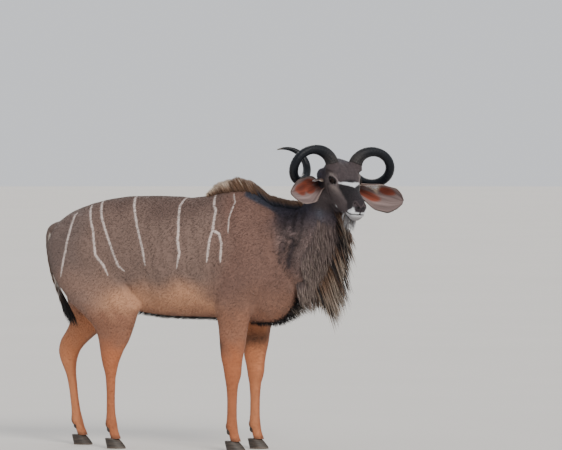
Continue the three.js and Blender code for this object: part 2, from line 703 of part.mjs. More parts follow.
// Head with its lids, mouth and nostrils, and what is set on it
const skull = join(
  solid(loft(spaced(0, Math.PI, HEAD.rings).map((angle) => {
    const x = 39 - 209 * Math.cos(angle);
    const [, top, bottom, half, middle, above, below] = headAt(x);
    return ring(HEAD.sides, vec(x, 0, middle), vec(0, 1, 0), vec(0, 0, 1), half, top - middle, middle - bottom,
      above, below);
  })), headMatrix),
  SIDES.map(([, side]) => lidRim(side)),
  SIDES.map(([, side]) => earBase(side)),
);
const neckWhole = neck();
const trunkWhole = trunk();

// Head and neck part behind the jaw
const headSpace = (lift) => beyond(pollPlane.point, pollPlane.out, lift)
  .intersect(beyond(throatPlane.point, throatPlane.out, lift));
const ears = SIDES.map(([, side]) => bySize(ear(side).subtract(earSlit(side))));
const hornRoots = SIDES.map(([, side]) => horn(side, -26, HORN.seat + 4));
const earRoots = ears.map((pieces) => pieces[1]);
let headBody = join(skull, neckWhole, hornRoots, earRoots).intersect(headSpace(0));
SIDES.forEach(([, side]) => {
  headBody = headBody.subtract(eyeBall(side, GAP));
  const nostril = [NOSTRIL.at[0], NOSTRIL.at[1] * side, NOSTRIL.at[2]];
  headBody = headBody.subtract(ellipsoid(nostril, NOSTRIL.radii, headMatrix, [10, 7]));
});
headBody = headBody.subtract(muzzleGroove());
SIDES.forEach(([, side]) => {
  headBody = headBody.subtract(horn(side, HORN.seat - 0.25, HORN.turns, GAP));
});

const beforeNeck = beyond(neckPlane.point, neckPlane.out);
const pastNeck = beyond(neckPlane.point, neckPlane.out, GAP);
const legs = SIDES.map(([label]) => [frontLeg(FRONT_LEG[label]), hindLeg(HIND_LEG[label])]).flat();
const tailWhole = tail();
const behindTail = beyond(tailPlane.point, tailPlane.out);
const pastTail = beyond(tailPlane.point, tailPlane.out, GAP);

const trunkAndNeck = join(trunkWhole, neckWhole);
let body = join(trunkAndNeck.subtract(beforeNeck), legs);
const neckBody = join(trunkAndNeck, skull).intersect(pastNeck).subtract(headSpace(-GAP));

// Legs part from the trunk under the elbow and below the groin, and again under the knee and the hock
function legRegion(sideSign, lift) {
  const inner = 12 * sideSign;
  const outer = 420 * sideSign;
  const [low, high] = sideSign < 0 ? [outer, inner] : [inner, outer];
  const front = box([120, low, -50], [760, high, CUT.legFront + lift]);
  const behind = box([-1200, low, -50], [0, high, 1200]);
  const hind = behind.intersect(beyond(groinPlane.point, groinPlane.out, -lift));
  return { front, hind };
}

const parts = {};
SIDES.forEach(([label, side], i) => {
  const outer = legRegion(side, GAP);
  const inner = legRegion(side, 0);
  const cuts = [["front", CUT.knee], ["hind", CUT.hock]];
  cuts.forEach(([pair, height], j) => {
    const leg = legs[2 * i + j].intersect(inner[pair]);
    const below = box([-1100, -450, -50], [800, 450, height]);
    const above = box([-1100, -450, height + GAP], [800, 450, 1400]);
    parts[`${pair}_leg_upper_${label}`] = leg.intersect(above);
    const { x, y } = footPlace(pair, label);
    parts[`${pair}_leg_lower_${label}`] = join(leg.intersect(below), dewClaws(x - 2, y));
    parts[`${pair}_hoof_${label}`] = [-1, 1].map((s) => claw(x + 12, y + s * HOOF.spread, s));
  });
  body = body.subtract(outer.front).subtract(outer.hind);
});

function footPlace(pair, label) {
  if (pair === "front") {
    const { x, y } = FRONT_LEG[label];
    return { x: x - 8, y: y - Math.sign(y) * 2 };
  }
  const { reach, y } = HIND_LEG[label];
  return { x: reach - 304, y: y - Math.sign(y) * 3 };
}

body = join(body, tailWhole.subtract(behindTail));
const torsoHair = join(mane(MANE.from, 552, 11), brisketHair()).subtract(beforeNeck);
const neckHair = join(mane(572, MANE.to, 12), fringe()).intersect(pastNeck).subtract(headSpace(-GAP));
add("torso", join(body, torsoHair), finish.coat);
add("neck", join(neckBody, neckHair), finish.neckCoat);
add("head", join(headBody, beard()), finish.neckCoat);
add("tail", join(tailWhole.intersect(pastTail), tailTuft()), finish.coat);
SIDES.forEach(([label, side], order) => {
  add(`horn_${label}`, horn(side), finish.horn);
  add(`ear_${label}`, ears[order][0], finish.ear);
  add(`eye_${label}`, eyeBall(side), finish.eye);
  ["front", "hind"].forEach((pair) => {
    add(`${pair}_leg_upper_${label}`, parts[`${pair}_leg_upper_${label}`], finish.legCoat);
    add(`${pair}_leg_lower_${label}`, parts[`${pair}_leg_lower_${label}`], finish.legCoat);
    parts[`${pair}_hoof_${label}`].forEach((hoof, i) => {
      add(`${pair}_hoof_${label}_${i === 0 ? "right" : "left"}_claw`, hoof, finish.hoof);
    });
  });
});

// The origin is the middle of the base
const bounds = new THREE.Box3().setFromObject(kudu);
const middle = bounds.getCenter(vec(0, 0, 0));
kudu.position.set(-middle.x, -middle.y, -bounds.min.z);

export default kudu;
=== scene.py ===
"""Looks of a greater kudu bull, standing with its head turned to its right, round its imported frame.

Tables hold millimetres in the body's own frame: X runs forward from mid-trunk, Y to the animal's left and
Z up from the ground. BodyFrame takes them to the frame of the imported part, in metres.
"""
import json
import logging
import math
from dataclasses import dataclass, field
from enum import Enum

import bmesh
import bpy
import numpy as np
from mathutils import Matrix, Vector
from mathutils.bvhtree import BVHTree

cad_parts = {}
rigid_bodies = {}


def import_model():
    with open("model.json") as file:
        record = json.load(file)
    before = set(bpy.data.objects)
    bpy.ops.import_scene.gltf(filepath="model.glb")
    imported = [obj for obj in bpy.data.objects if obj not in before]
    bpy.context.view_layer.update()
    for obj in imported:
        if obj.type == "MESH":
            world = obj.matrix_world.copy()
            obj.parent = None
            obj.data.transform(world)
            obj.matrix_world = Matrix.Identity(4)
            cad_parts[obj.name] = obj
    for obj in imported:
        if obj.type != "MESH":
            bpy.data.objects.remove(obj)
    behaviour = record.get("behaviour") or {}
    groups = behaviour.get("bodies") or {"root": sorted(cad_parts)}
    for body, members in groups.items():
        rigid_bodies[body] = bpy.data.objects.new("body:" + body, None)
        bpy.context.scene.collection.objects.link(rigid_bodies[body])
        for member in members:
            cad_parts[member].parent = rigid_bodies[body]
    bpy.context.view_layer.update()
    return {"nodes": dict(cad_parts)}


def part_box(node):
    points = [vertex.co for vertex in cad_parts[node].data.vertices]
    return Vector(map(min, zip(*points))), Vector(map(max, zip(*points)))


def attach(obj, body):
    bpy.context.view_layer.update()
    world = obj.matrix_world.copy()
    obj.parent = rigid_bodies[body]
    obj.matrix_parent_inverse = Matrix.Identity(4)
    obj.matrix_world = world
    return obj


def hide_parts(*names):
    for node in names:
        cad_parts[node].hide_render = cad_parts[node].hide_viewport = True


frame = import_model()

LOG = logging.getLogger("kudu")
MM = 0.001
TURN = 2 * math.pi
BAKE_PATCH = 0.003
NO_STRIPE = 0.04
SIDES = (("right", -1), ("left", 1))
Array = np.ndarray
Mesh = bpy.types.Mesh
Object = bpy.types.Object
Node = bpy.types.Node
Socket = bpy.types.NodeSocket

# Sizes shared with the part's solids, in millimetres and degrees
TRUNK_ROWS = [
    (-641, 1072, 1000, 40, 1032, 2, 2), (-625, 1118, 935, 88, 1030, 2, 2),
    (-583, 1170, 866, 138, 1040, 2, 2), (-495, 1221, 806, 176, 1030, 1.9, 2),
    (-387, 1257, 752, 196, 1000, 1.9, 2), (-278, 1279, 716, 208, 960, 1.9, 2),
    (-150, 1288, 692, 220, 940, 1.9, 2), (0, 1289, 678, 232, 930, 1.9, 2),
    (110, 1283, 675, 233, 930, 1.85, 2), (210, 1291, 672, 222, 940, 1.75, 2),
    (300, 1312, 664, 205, 960, 1.6, 2), (390, 1322, 652, 190, 980, 1.5, 2),
    (470, 1304, 643, 178, 990, 1.5, 2), (560, 1250, 645, 160, 980, 1.7, 2),
    (640, 1172, 682, 132, 950, 2, 2), (690, 1080, 760, 98, 920, 2, 2), (712, 1000, 840, 52, 915, 2, 2),
]
NECK_ROWS = [
    (0, 500, 0, 985, 38, 240, 150, 0), (0.14, 622, 0, 1030, 36, 262, 138, 0),
    (0.28, 692, 0, 1066, 34, 212, 124, 0), (0.42, 757, -1, 1112, 42, 168, 109, -4),
    (0.57, 808, -3, 1176, 62, 130, 97, -12), (0.71, 836, -3, 1250, 72, 108, 84, -24),
    (0.86, 858, 0, 1326, 74, 92, 74, -36), (1, 878, 0, 1385, 74, 66, 58, -44),
]
HEAD_ROWS = [
    (-170, 34, -28, 26, 2, 2, 2), (-157, 56, -62, 50, 3, 2, 2), (-128, 66, -98, 70, 3, 2.2, 2),
    (-88, 74, -128, 83, 0, 2.8, 2), (-50, 76, -148, 85, -4, 3, 1.8), (-12, 70, -152, 85, -4, 2.7, 1.8),
    (18, 58, -150, 79, -8, 2.3, 1.8), (48, 48, -143, 69, -16, 2.2, 1.9), (84, 40, -136, 56, -26, 2.1, 1.9),
    (122, 35, -127, 45, -32, 2.1, 2), (162, 29, -118, 38, -34, 2.2, 2.2),
    (198, 24, -110, 38, -34, 2.3, 2.4), (222, 14, -98, 40, -34, 2.4, 2.5),
    (240, -2, -78, 31, -32, 2.3, 2.3), (248, -18, -58, 12, -32, 2, 2),
]
FRONT_LEG_ROWS = [
    (1215, 60, -50, 40, 42), (1080, 180, -66, 68, 14), (960, 240, -74, 76, 4), (880, 232, -80, 77, 0),
    (800, 172, -90, 70, -3), (740, 124, -90, 62, -3), (690, 104, -84, 56, -2), (620, 87, -72, 50, 0),
    (540, 75, -67, 44, 1), (470, 60, -60, 40, 2), (430, 54, -50, 40, 2), (398, 52, -44, 41, 2),
    (362, 44, -38, 38, 2), (332, 35, -33, 31, 2), (250, 29, -28, 25, 2), (182, 28, -29, 25, 2),
    (150, 29, -31, 29, 2), (122, 32, -36, 33, 2), (98, 35, -26, 29, 2), (74, 42, -15, 27, 2),
    (46, 52, -9, 31, 2),
]
HIND_LEG_ROWS = [
    (1190, -250, -540, 52, 46, 0), (1100, -196, -606, 78, 22, 0), (1020, -162, -632, 88, 6, 0.02),
    (940, -140, -620, 92, 0, 0.08), (860, -124, -590, 92, -4, 0.2), (790, -114, -542, 88, -6, 0.34),
    (730, -120, -495, 81, -6, 0.48), (680, -146, -447, 71, -4, 0.62), (630, -166, -400, 59, -2, 0.8),
    (580, -188, -378, 48, 0, 0.98), (540, -208, -372, 40, 2, 1.1), (500, -234, -368, 36, 3, 1.16),
    (470, -248, -363, 37, 3, 1.18), (430, -264, -354, 38, 3, 1.17), (390, -273, -342, 33, 3, 1.15),
    (350, -279, -335, 28, 3, 1.12), (250, -281, -330, 24, 3, 1.07), (182, -278, -330, 25, 3, 1.04),
    (150, -273, -332, 29, 3, 1.03), (122, -268, -336, 33, 3, 1.02), (98, -264, -324, 29, 3, 1.01),
    (74, -256, -312, 27, 3, 1), (46, -245, -304, 31, 3, 1),
]
TAIL_ROWS = [
    (0, -600, 1128, 30), (0.1, -645, 1116, 26), (0.2, -666, 1080, 21), (0.34, -670, 1026, 17),
    (0.6, -656, 930, 14), (0.85, -628, 838, 12), (1, -603, 784, 12), (1.2, -560, 712, 8),
]
EAR_ROWS = [
    (0, 0.38, 300), (0.14, 0.42, 262), (0.32, 0.64, 205), (0.55, 1, 160), (0.75, 0.98, 130),
    (0.9, 0.64, 105), (0.985, 0.2, 90),
]
MANE_ROWS = [
    (205, 1288, 8), (250, 1300, 34), (300, 1311, 50), (372, 1320, 60), (430, 1320, 66), (500, 1296, 62),
    (563, 1258, 52), (640, 1226, 42), (700, 1216, 34), (735, 1212, 20),
]
FRINGE_ROWS = [
    (0, 912, 1206, 968, 1075), (0.16, 931, 1140, 982, 985), (0.34, 912, 1055, 974, 850),
    (0.5, 880, 985, 958, 745), (0.66, 842, 925, 930, 662), (0.8, 806, 884, 894, 632),
    (0.9, 784, 862, 846, 696), (1, 738, 850, 734, 744),
]
BRISKET_ROWS = [(0, 430, 652), (0.3, 520, 646), (0.55, 600, 662), (0.75, 655, 705), (1, 704, 790)]
HEAD_AT = (970, -86, 1364)
HEAD_TURN = -47.5
HEAD_NOD = 27.5
HEAD_ROLL = -2.7
FRONT_LEGS = {"right": (378, -120), "left": (415, 120)}
HIND_LEGS = {"right": (22, -120), "left": (-255, 120)}
EYE_AT = (8, 67, 13)
EYE_LOOK = (0.34, 0.93, 0.14)
EYE_RADIUS = 20
EAR_ROOT = (-92, 80, -60)
EAR_WAY = {"left": (0.378, 0.921, -0.099), "right": (0.52, 0.85, 0.05)}
EAR_TWIST = {"left": 13.9, "right": -3.1}
EAR_OPEN = (0.76, -0.42, 0.5)
EAR_BASE = ((-106, 80, -20), (37, 27, 37))
HOOF_HEIGHT = 52
HOOF_LENGTH = 98
HOOF_WIDTH = 35
HOOF_SPREAD = 4

# White stripes of the right side, as places along X and heights
STRIPES = [
    [(-477, 1196), (-489, 1086), (-497, 1005), (-528, 875)],
    [(-409, 1236), (-355, 1108), (-330, 987), (-285, 936), (-260, 885)],
    [(-358, 1262), (-290, 1119), (-248, 1033), (-200, 932), (-167, 907)],
    [(-175, 1280), (-103, 1111), (-69, 1025), (-49, 939)],
    [(98, 1278), (91, 1238), (116, 1118), (118, 1067), (134, 1002), (121, 925)],
    [(257, 1292), (273, 1240), (289, 1220), (293, 1119), (283, 1073), (275, 957)],
    [(293, 1119), (329, 1099), (346, 1048), (345, 957)],
]
# Fainter stripes, and how far each stripe of the left side is shifted along X
FAINT_STRIPES = [[(357, 1300), (379, 1260), (367, 1175), (374, 1094)]]
LEFT_SHIFTS = (18, -14, 26, -20, 12, -16, 30, 0)
# Painted shade in the folds of the neck, as places along X and heights, each with its strength
NECK_FOLD_SHADES = [
    ([(709, 1205), (702, 1100), (692, 1000), (683, 935)], 0.85),
    ([(755, 1205), (747, 1130), (736, 1050)], 0.6),
    ([(661, 1185), (652, 1080), (640, 960)], 0.6),
]


def smoothstep(low: float, high: float, value: Array) -> Array:
    """Returns a smooth 0 to 1 ramp of value between low and high."""
    t = np.clip((value - low) / (high - low), 0, 1)
    return t * t * (3 - 2 * t)


def unit(vectors: Array) -> Array:
    """Returns the vectors scaled to length one."""
    vectors = np.asarray(vectors, float)
    return vectors / np.maximum(np.linalg.norm(vectors, axis=-1, keepdims=True), 1e-12)


def ripple(points: Array, scale: float, seed: int, waves: int = 14) -> Array:
    """Smooth repeatable noise.

    Args:
        points: places, (N, 3).
        scale: rough size of its swells, in the points' unit.
        seed: seed of its waves.
        waves: how many waves are summed.

    Returns:
        Values of about -1 to 1, (N,).
    """
    draw = np.random.default_rng(seed)
    ways = unit(draw.normal(size=(waves, 3))) * (TURN / scale) * draw.uniform(0.6, 1.6, (waves, 1))
    phases = draw.uniform(0, TURN, waves)
    return np.sin(points @ ways.T + phases).sum(axis=1) / math.sqrt(waves) * 0.8


def blend(base: Array, over: "Array | Tint", share: Array) -> Array:
    """Returns base with a tint or other rows laid on it by share, row by row."""
    over = over.linear if isinstance(over, Tint) else over
    return base + (np.asarray(over, float) - base) * share[:, None]


def bell(*terms: tuple) -> Array:
    """Returns a soft bump over (value, middle, width) terms: 1 at all the middles, less away from them."""
    return np.exp(-sum(((value - middle) / width) ** 2 for value, middle, width in terms))


def mirror(side: int) -> Array:
    """Returns the factors that keep a place on the left side or take it to the right."""
    return np.array([1, side, 1])


def folded(points: Array) -> Array:
    """Returns the points, those of the right side taken to the left."""
    return np.stack([points[:, 0], np.abs(points[:, 1]), points[:, 2]], axis=1)


def draft(count: int) -> int:
    return count


class Stations:
    """A table whose first column is the place and whose other columns run smoothly between rows."""

    def __init__(self, rows: list[tuple]) -> None:
        """Sorts the rows by place and works out the slopes.

        Args:
            rows: each row's place and values.
        """
        table = np.array(rows, float)
        self.table = table[np.argsort(table[:, 0])]
        gaps = np.diff(self.table[:, :1], axis=0)
        rise = np.diff(self.table, axis=0) / gaps
        before, after = rise[:-1], rise[1:]
        total = np.where(before * after > 0, before + after, 1.0)
        inner = np.where(before * after > 0, 2 * before * after / total, 0.0)
        self.slopes = np.vstack([rise[:1], inner, rise[-1:]])

    def at(self, places: Array) -> Array:
        """Reads the table between its rows.

        Args:
            places: one place or more.

        Returns:
            The columns at the places, (columns, N).
        """
        places = np.atleast_1d(np.asarray(places, float))
        keys = self.table[:, 0]
        i = np.clip(np.searchsorted(keys, places, side="right") - 1, 0, len(keys) - 2)
        step = (keys[i + 1] - keys[i])[:, None]
        t = np.clip((places - keys[i])[:, None] / step, 0, 1)
        a = 2 * t**3 - 3 * t**2 + 1
        b = t**3 - 2 * t**2 + t
        found = a * self.table[i] + b * step * self.slopes[i]
        found += (1 - a) * self.table[i + 1] + (t**3 - t**2) * step * self.slopes[i + 1]
        return found.T


TRUNK, NECK, HEAD = Stations(TRUNK_ROWS), Stations(NECK_ROWS), Stations(HEAD_ROWS)
FRONT_LEG, HIND_LEG, TAIL = Stations(FRONT_LEG_ROWS), Stations(HIND_LEG_ROWS), Stations(TAIL_ROWS)
EAR, MANE, FRINGE, BRISKET = (Stations(r) for r in (EAR_ROWS, MANE_ROWS, FRINGE_ROWS, BRISKET_ROWS))


def rotation(axis: str, degrees: float) -> Array:
    """Returns the 3 by 3 turn about an axis."""
    return np.array(Matrix.Rotation(math.radians(degrees), 3, axis))


class BodyFrame:
    """Takes places between the body's millimetres, the head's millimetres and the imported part's metres."""

    def __init__(self) -> None:
        """Finds where the part's frame lies, from the front claws' boxes."""
        toe = FRONT_LEGS["right"][0] + 4 + 0.7 * HOOF_LENGTH
        low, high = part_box("front_hoof_right_right_claw")
        far_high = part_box("front_hoof_left_left_claw")[1]
        self.shift = np.array([high.x / MM - toe, (low.y + far_high.y) / 2 / MM, 0.0])
        self.head_turn = rotation("Z", HEAD_TURN) @ rotation("Y", HEAD_NOD) @ rotation("X", HEAD_ROLL)

    def to_row(self, points: Array) -> Array:
        """Returns body places in the part's metres."""
        return (np.asarray(points, float) + self.shift) * MM

    def to_body(self, points: Array) -> Array:
        """Returns the part's metres as body places."""
        return np.asarray(points, float) / MM - self.shift

    def head_to_body(self, points: Array) -> Array:
        """Returns head places as body places, in any arrangement."""
        points = np.asarray(points, float)
        return (points.reshape(-1, 3) @ self.head_turn.T + np.array(HEAD_AT)).reshape(points.shape)

    def body_to_head(self, points: Array) -> Array:
        """Returns body places as head places."""
        return (np.asarray(points, float) - np.array(HEAD_AT)) @ self.head_turn

    def head_way(self, ways: Array) -> Array:
        """Returns directions of the head as directions of the body."""
        return np.asarray(ways, float) @ self.head_turn.T


BODY = BodyFrame()


@dataclass
class Shell:
    """Points and faces of a mesh, with values kept for each point."""

    points: Array
    faces: list
    values: dict = field(default_factory=dict)

    def plus(self, other: "Shell") -> "Shell":
        """Joins two shells and drops their values.

        Args:
            other: the second shell.

        Returns:
            Both as one shell.
        """
        start = len(self.points)
        faces = list(self.faces) + [tuple(start + i for i in f) for f in other.faces]
        return Shell(np.vstack([self.points, other.points]), faces)


def rings_of(centre: Array, side: Array, up: Array, half: Array, above: Array, below: Array,
             round_above: Array | float = 2, round_below: Array | float = 2, sides: int = 48) -> Array:
    """Superellipse rings.

    Args:
        centre: middle of each ring, (R, 3).
        side: direction of the half width, (R, 3).
        up: direction of the height, (R, 3).
        half: half width of each ring.
        above: height over the middle.
        below: depth under the middle.
        round_above: roundness of the upper half.
        round_below: roundness of the lower half.
        sides: points in a ring.

    Returns:
        The rings, (R, sides, 3).
    """
    angle = np.arange(sides) * TURN / sides
    count = len(centre)
    cos, sin = np.tile(np.cos(angle), (count, 1)), np.tile(np.sin(angle), (count, 1))
    wide = [np.broadcast_to(np.asarray(v, float), (count,))[:, None] for v in
            (half, above, below, round_above, round_below)]
    upper = sin >= 0
    power = np.where(upper, wide[3], wide[4])
    across = wide[0] * np.sign(cos) * np.abs(cos) ** (2 / power)
    high = np.where(upper, wide[1], wide[2]) * np.sign(sin) * np.abs(sin) ** (2 / power)
    return centre[:, None] + side[:, None] * across[..., None] + up[:, None] * high[..., None]


def cross_rings(table: Stations, x: Array) -> Array:
    """Makes upright rings along X.

    Args:
        table: top, bottom, half width, widest height and roundness by X.
        x: the rings' places.

    Returns:
        The rings' points, (rings, sides, 3).
    """
    _, top, bottom, half, middle, above, below = table.at(x)
    centre = np.stack([x, 0 * x, middle], axis=1)
    side, up = np.tile([0, 1, 0], (len(x), 1)), np.tile([0, 0, 1], (len(x), 1))
    return rings_of(centre, side, up, half, top - middle, middle - bottom, above, below, 72)


def loft(rings: Array, closed: bool = False) -> Shell:
    """Skins rings of the same number of points.

    Args:
        rings: the rings, (R, N, 3).
        closed: whether the last ring joins the first. If not, a fan covers each end.

    Returns:
        The closed skin.
    """
    count, n = rings.shape[:2]
    points = rings.reshape(-1, 3)
    faces = []
    for r in range(count if closed else count - 1):
        a, b = r * n, ((r + 1) % count) * n
        faces += [(a + i, a + (i + 1) % n, b + (i + 1) % n, b + i) for i in range(n)]
    if not closed:
        ends = np.array([rings[0].mean(axis=0), rings[-1].mean(axis=0)])
        points = np.vstack([points, ends])
        last = (count - 1) * n
        faces += [((i + 1) % n, i, count * n) for i in range(n)]
        faces += [(last + i, last + (i + 1) % n, count * n + 1) for i in range(n)]
    return Shell(points, faces)


def ball(at: tuple, radii: tuple, segments: int = 24, rings: int = 16) -> Shell:
    """Makes a closed ellipsoid.

    Args:
        at: its middle.
        radii: its three radii.
        segments: points round it.
        rings: rings from pole to pole.

    Returns:
        The ellipsoid.
    """
    polar = np.linspace(0.02, math.pi - 0.02, rings)
    turn = np.arange(segments) * TURN / segments
    x = np.outer(np.sin(polar), np.cos(turn))
    y = np.outer(np.sin(polar), np.sin(turn))
    z = np.repeat(np.cos(polar)[:, None], segments, axis=1)
    return loft(np.stack([x, y, z], axis=2) * np.array(radii) + np.array(at))


def placed(name: str, data: bpy.types.ID) -> Object:
    """Puts a new object in the scene.

    Args:
        name: its name.
        data: its mesh, lamp or other data.

    Returns:
        The object.
    """
    obj = bpy.data.objects.new(name, data)
    bpy.context.scene.collection.objects.link(obj)
    return obj


def make_object(name: str, shell: Shell) -> Object:
    """Makes a smooth object of a shell given in body millimetres.

    Args:
        name: the piece's name.
        shell: its points, faces and values.

    Returns:
        The object, with normals pointing outwards.
    """
    mesh = bpy.data.meshes.new(name)
    mesh.from_pydata(BODY.to_row(shell.points).tolist(), [], [tuple(map(int, f)) for f in shell.faces])
    obj = placed(name, mesh)
    store_values(mesh, shell.values)
    bm = bmesh.new()
    bm.from_mesh(mesh)
    bmesh.ops.recalc_face_normals(bm, faces=bm.faces)
    bm.to_mesh(mesh)
    bm.free()
    mesh.shade_smooth()
    return obj


def store_values(mesh: Mesh, values: dict) -> None:
    """Keeps each array as a point attribute: a number, a vector, or a colour where the name ends in tint.

    Args:
        mesh: the mesh to write to.
        values: the arrays by name.
    """
    for name, value in values.items():
        value = np.asarray(value, np.float32)
        if value.ndim == 1:
            mesh.attributes.new(name, "FLOAT", "POINT").data.foreach_set("value", value)
        elif name.endswith("tint"):
            full = np.hstack([value, np.ones((len(value), 1), np.float32)])
            mesh.attributes.new(name, "FLOAT_COLOR", "POINT").data.foreach_set("color", full.ravel())
        else:
            mesh.attributes.new(name, "FLOAT_VECTOR", "POINT").data.foreach_set("vector", value.ravel())


def read_points(mesh: Mesh) -> Array:
    """Reads a mesh's points.

    Args:
        mesh: the mesh.

    Returns:
        The points, (N, 3).
    """
    points = np.zeros(len(mesh.vertices) * 3, np.float32)
    mesh.vertices.foreach_get("co", points)
    return points.reshape(-1, 3).astype(float)


def write_points(mesh: Mesh, points: Array) -> None:
    """Moves the mesh's points."""
    mesh.vertices.foreach_set("co", np.asarray(points, np.float32).ravel())
    mesh.update()


def normals_of(mesh: Mesh) -> Array:
    """Reads the points' normals.

    Args:
        mesh: the mesh.

    Returns:
        The normals, (N, 3).
    """
    found = np.zeros(len(mesh.vertices) * 3, np.float32)
    mesh.vertex_normals.foreach_get("vector", found)
    return found.reshape(-1, 3).astype(float)


def edges_of(mesh: Mesh) -> Array:
    """Reads a mesh's edges.

    Args:
        mesh: the mesh.

    Returns:
        The two points of each edge, (E, 2).
    """
    found = np.zeros(len(mesh.edges) * 2, np.int32)
    mesh.edges.foreach_get("vertices", found)
    return found.reshape(-1, 2)


def corners_of(mesh: Mesh) -> Array:
    """Reads the point of each face corner.

    Args:
        mesh: the mesh.

    Returns:
        The points' numbers, (C,).
    """
    found = np.zeros(len(mesh.loops), np.int32)
    mesh.loops.foreach_get("vertex_index", found)
    return found


def relax(values: Array, edges: Array, rounds: int, share: Array | float) -> Array:
    """Moves each value towards its neighbours' mean.

    Args:
        values: (N, C) values, such as places.
        edges: pairs of neighbours.
        rounds: how often it is done.
        share: how far each goes, from 0 to 1, as a number or (N,).

    Returns:
        The relaxed values.
    """
    count = len(values)
    ends = np.concatenate([edges[:, 0], edges[:, 1]])
    others = np.concatenate([edges[:, 1], edges[:, 0]])
    degree = np.maximum(np.bincount(ends, minlength=count), 1)
    share = np.broadcast_to(np.asarray(share, float), (count,))[:, None]
    for _ in range(rounds):
        sums = [np.bincount(ends, weights=column, minlength=count) for column in values[others].T]
        values = values + (np.stack(sums, axis=1) / degree[:, None] - values) * share
    return values


def evaluated_copy(obj: Object) -> Mesh:
    """Applies an object's modifiers and removes them.

    Args:
        obj: the object.

    Returns:
        A plain mesh of its evaluated shape.
    """
    bpy.context.view_layer.update()
    graph = bpy.context.evaluated_depsgraph_get()
    mesh = bpy.data.meshes.new_from_object(obj.evaluated_get(graph))
    obj.modifiers.clear()
    return mesh


def finish_piece(obj: Object, slot: str, *nodes: str) -> Object:
    """Rides a finished piece on the body and hides the nodes it stands for.

    Args:
        obj: the piece.
        slot: its material slot, which is not used.
        nodes: the nodes that it replaces.

    Returns:
        The piece.
    """
    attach(obj, "root")
    if nodes:
        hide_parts(*nodes)
    LOG.info("%s: %d faces", obj.name, len(obj.data.polygons))
    return obj


class Tint(Enum):
    """Colours of the animal, as screen values from 0 to 255."""

    BACK = (96, 77, 70)
    FLANK = (118, 97, 88)
    BELLY = (186, 138, 108)
    RUMP = (104, 89, 84)
    THIGH = (136, 109, 97)
    SHOULDER = (114, 85, 75)
    LEG_UPPER = (140, 98, 78)
    LEG_LOWER = (168, 102, 68)
    LEG_INSIDE = (200, 132, 92)
    # Dark marks on legs and ears, also used for painted shade inside the forelegs and under an ear's rim
    DARK_MARK_AND_SHADE = (50, 40, 36)
    NECK_HIGH = (58, 55, 68)
    # Painted bluish sheen for the neck behind the jaw
    NECK_PAINTED_SHEEN = (104, 112, 126)
    NECK_LOW = (112, 95, 92)
    # Painted shade for creases and folds, under the jaw and along the cheek's fold
    PAINTED_CREASE_SHADE = (42, 34, 38)
    # Dark hair of the crest, partly painted shade with a sky-blue cast
    WITHERS_DARK_AND_SHADE = (46, 50, 62)
    FOREHEAD = (76, 66, 68)
    NOSE_BRIDGE = (33, 29, 33)
    CHEEK = (108, 98, 98)
    PALE_EYE = (150, 138, 132)
    MUZZLE = (40, 34, 38)
    WHITE = (236, 238, 242)
    CHIN = (205, 205, 208)
    STRIPE = (208, 193, 187)
    EAR_BACK = (104, 84, 76)
    EAR_INSIDE = (122, 106, 104)
    EAR_ORANGE = (126, 58, 38)
    # Deep orange of the ear, also used as painted shade deep in the cup
    EAR_DEEP_AND_SHADE = (62, 30, 25)
    EAR_RIM = (160, 142, 136)
    BLACK_HAIR = (30, 26, 27)
    BROWN_HAIR = (104, 78, 60)
    CREAM_HAIR = (204, 186, 168)
    TAIL_WHITE = (214, 204, 194)
    LID = (24, 20, 20)

    @property
    def linear(self) -> Array:
        """The colour as linear values."""
        part = np.array(self.value, float) / 255
        return np.where(part <= 0.04045, part / 12.92, ((part + 0.055) / 1.055) ** 2.4)


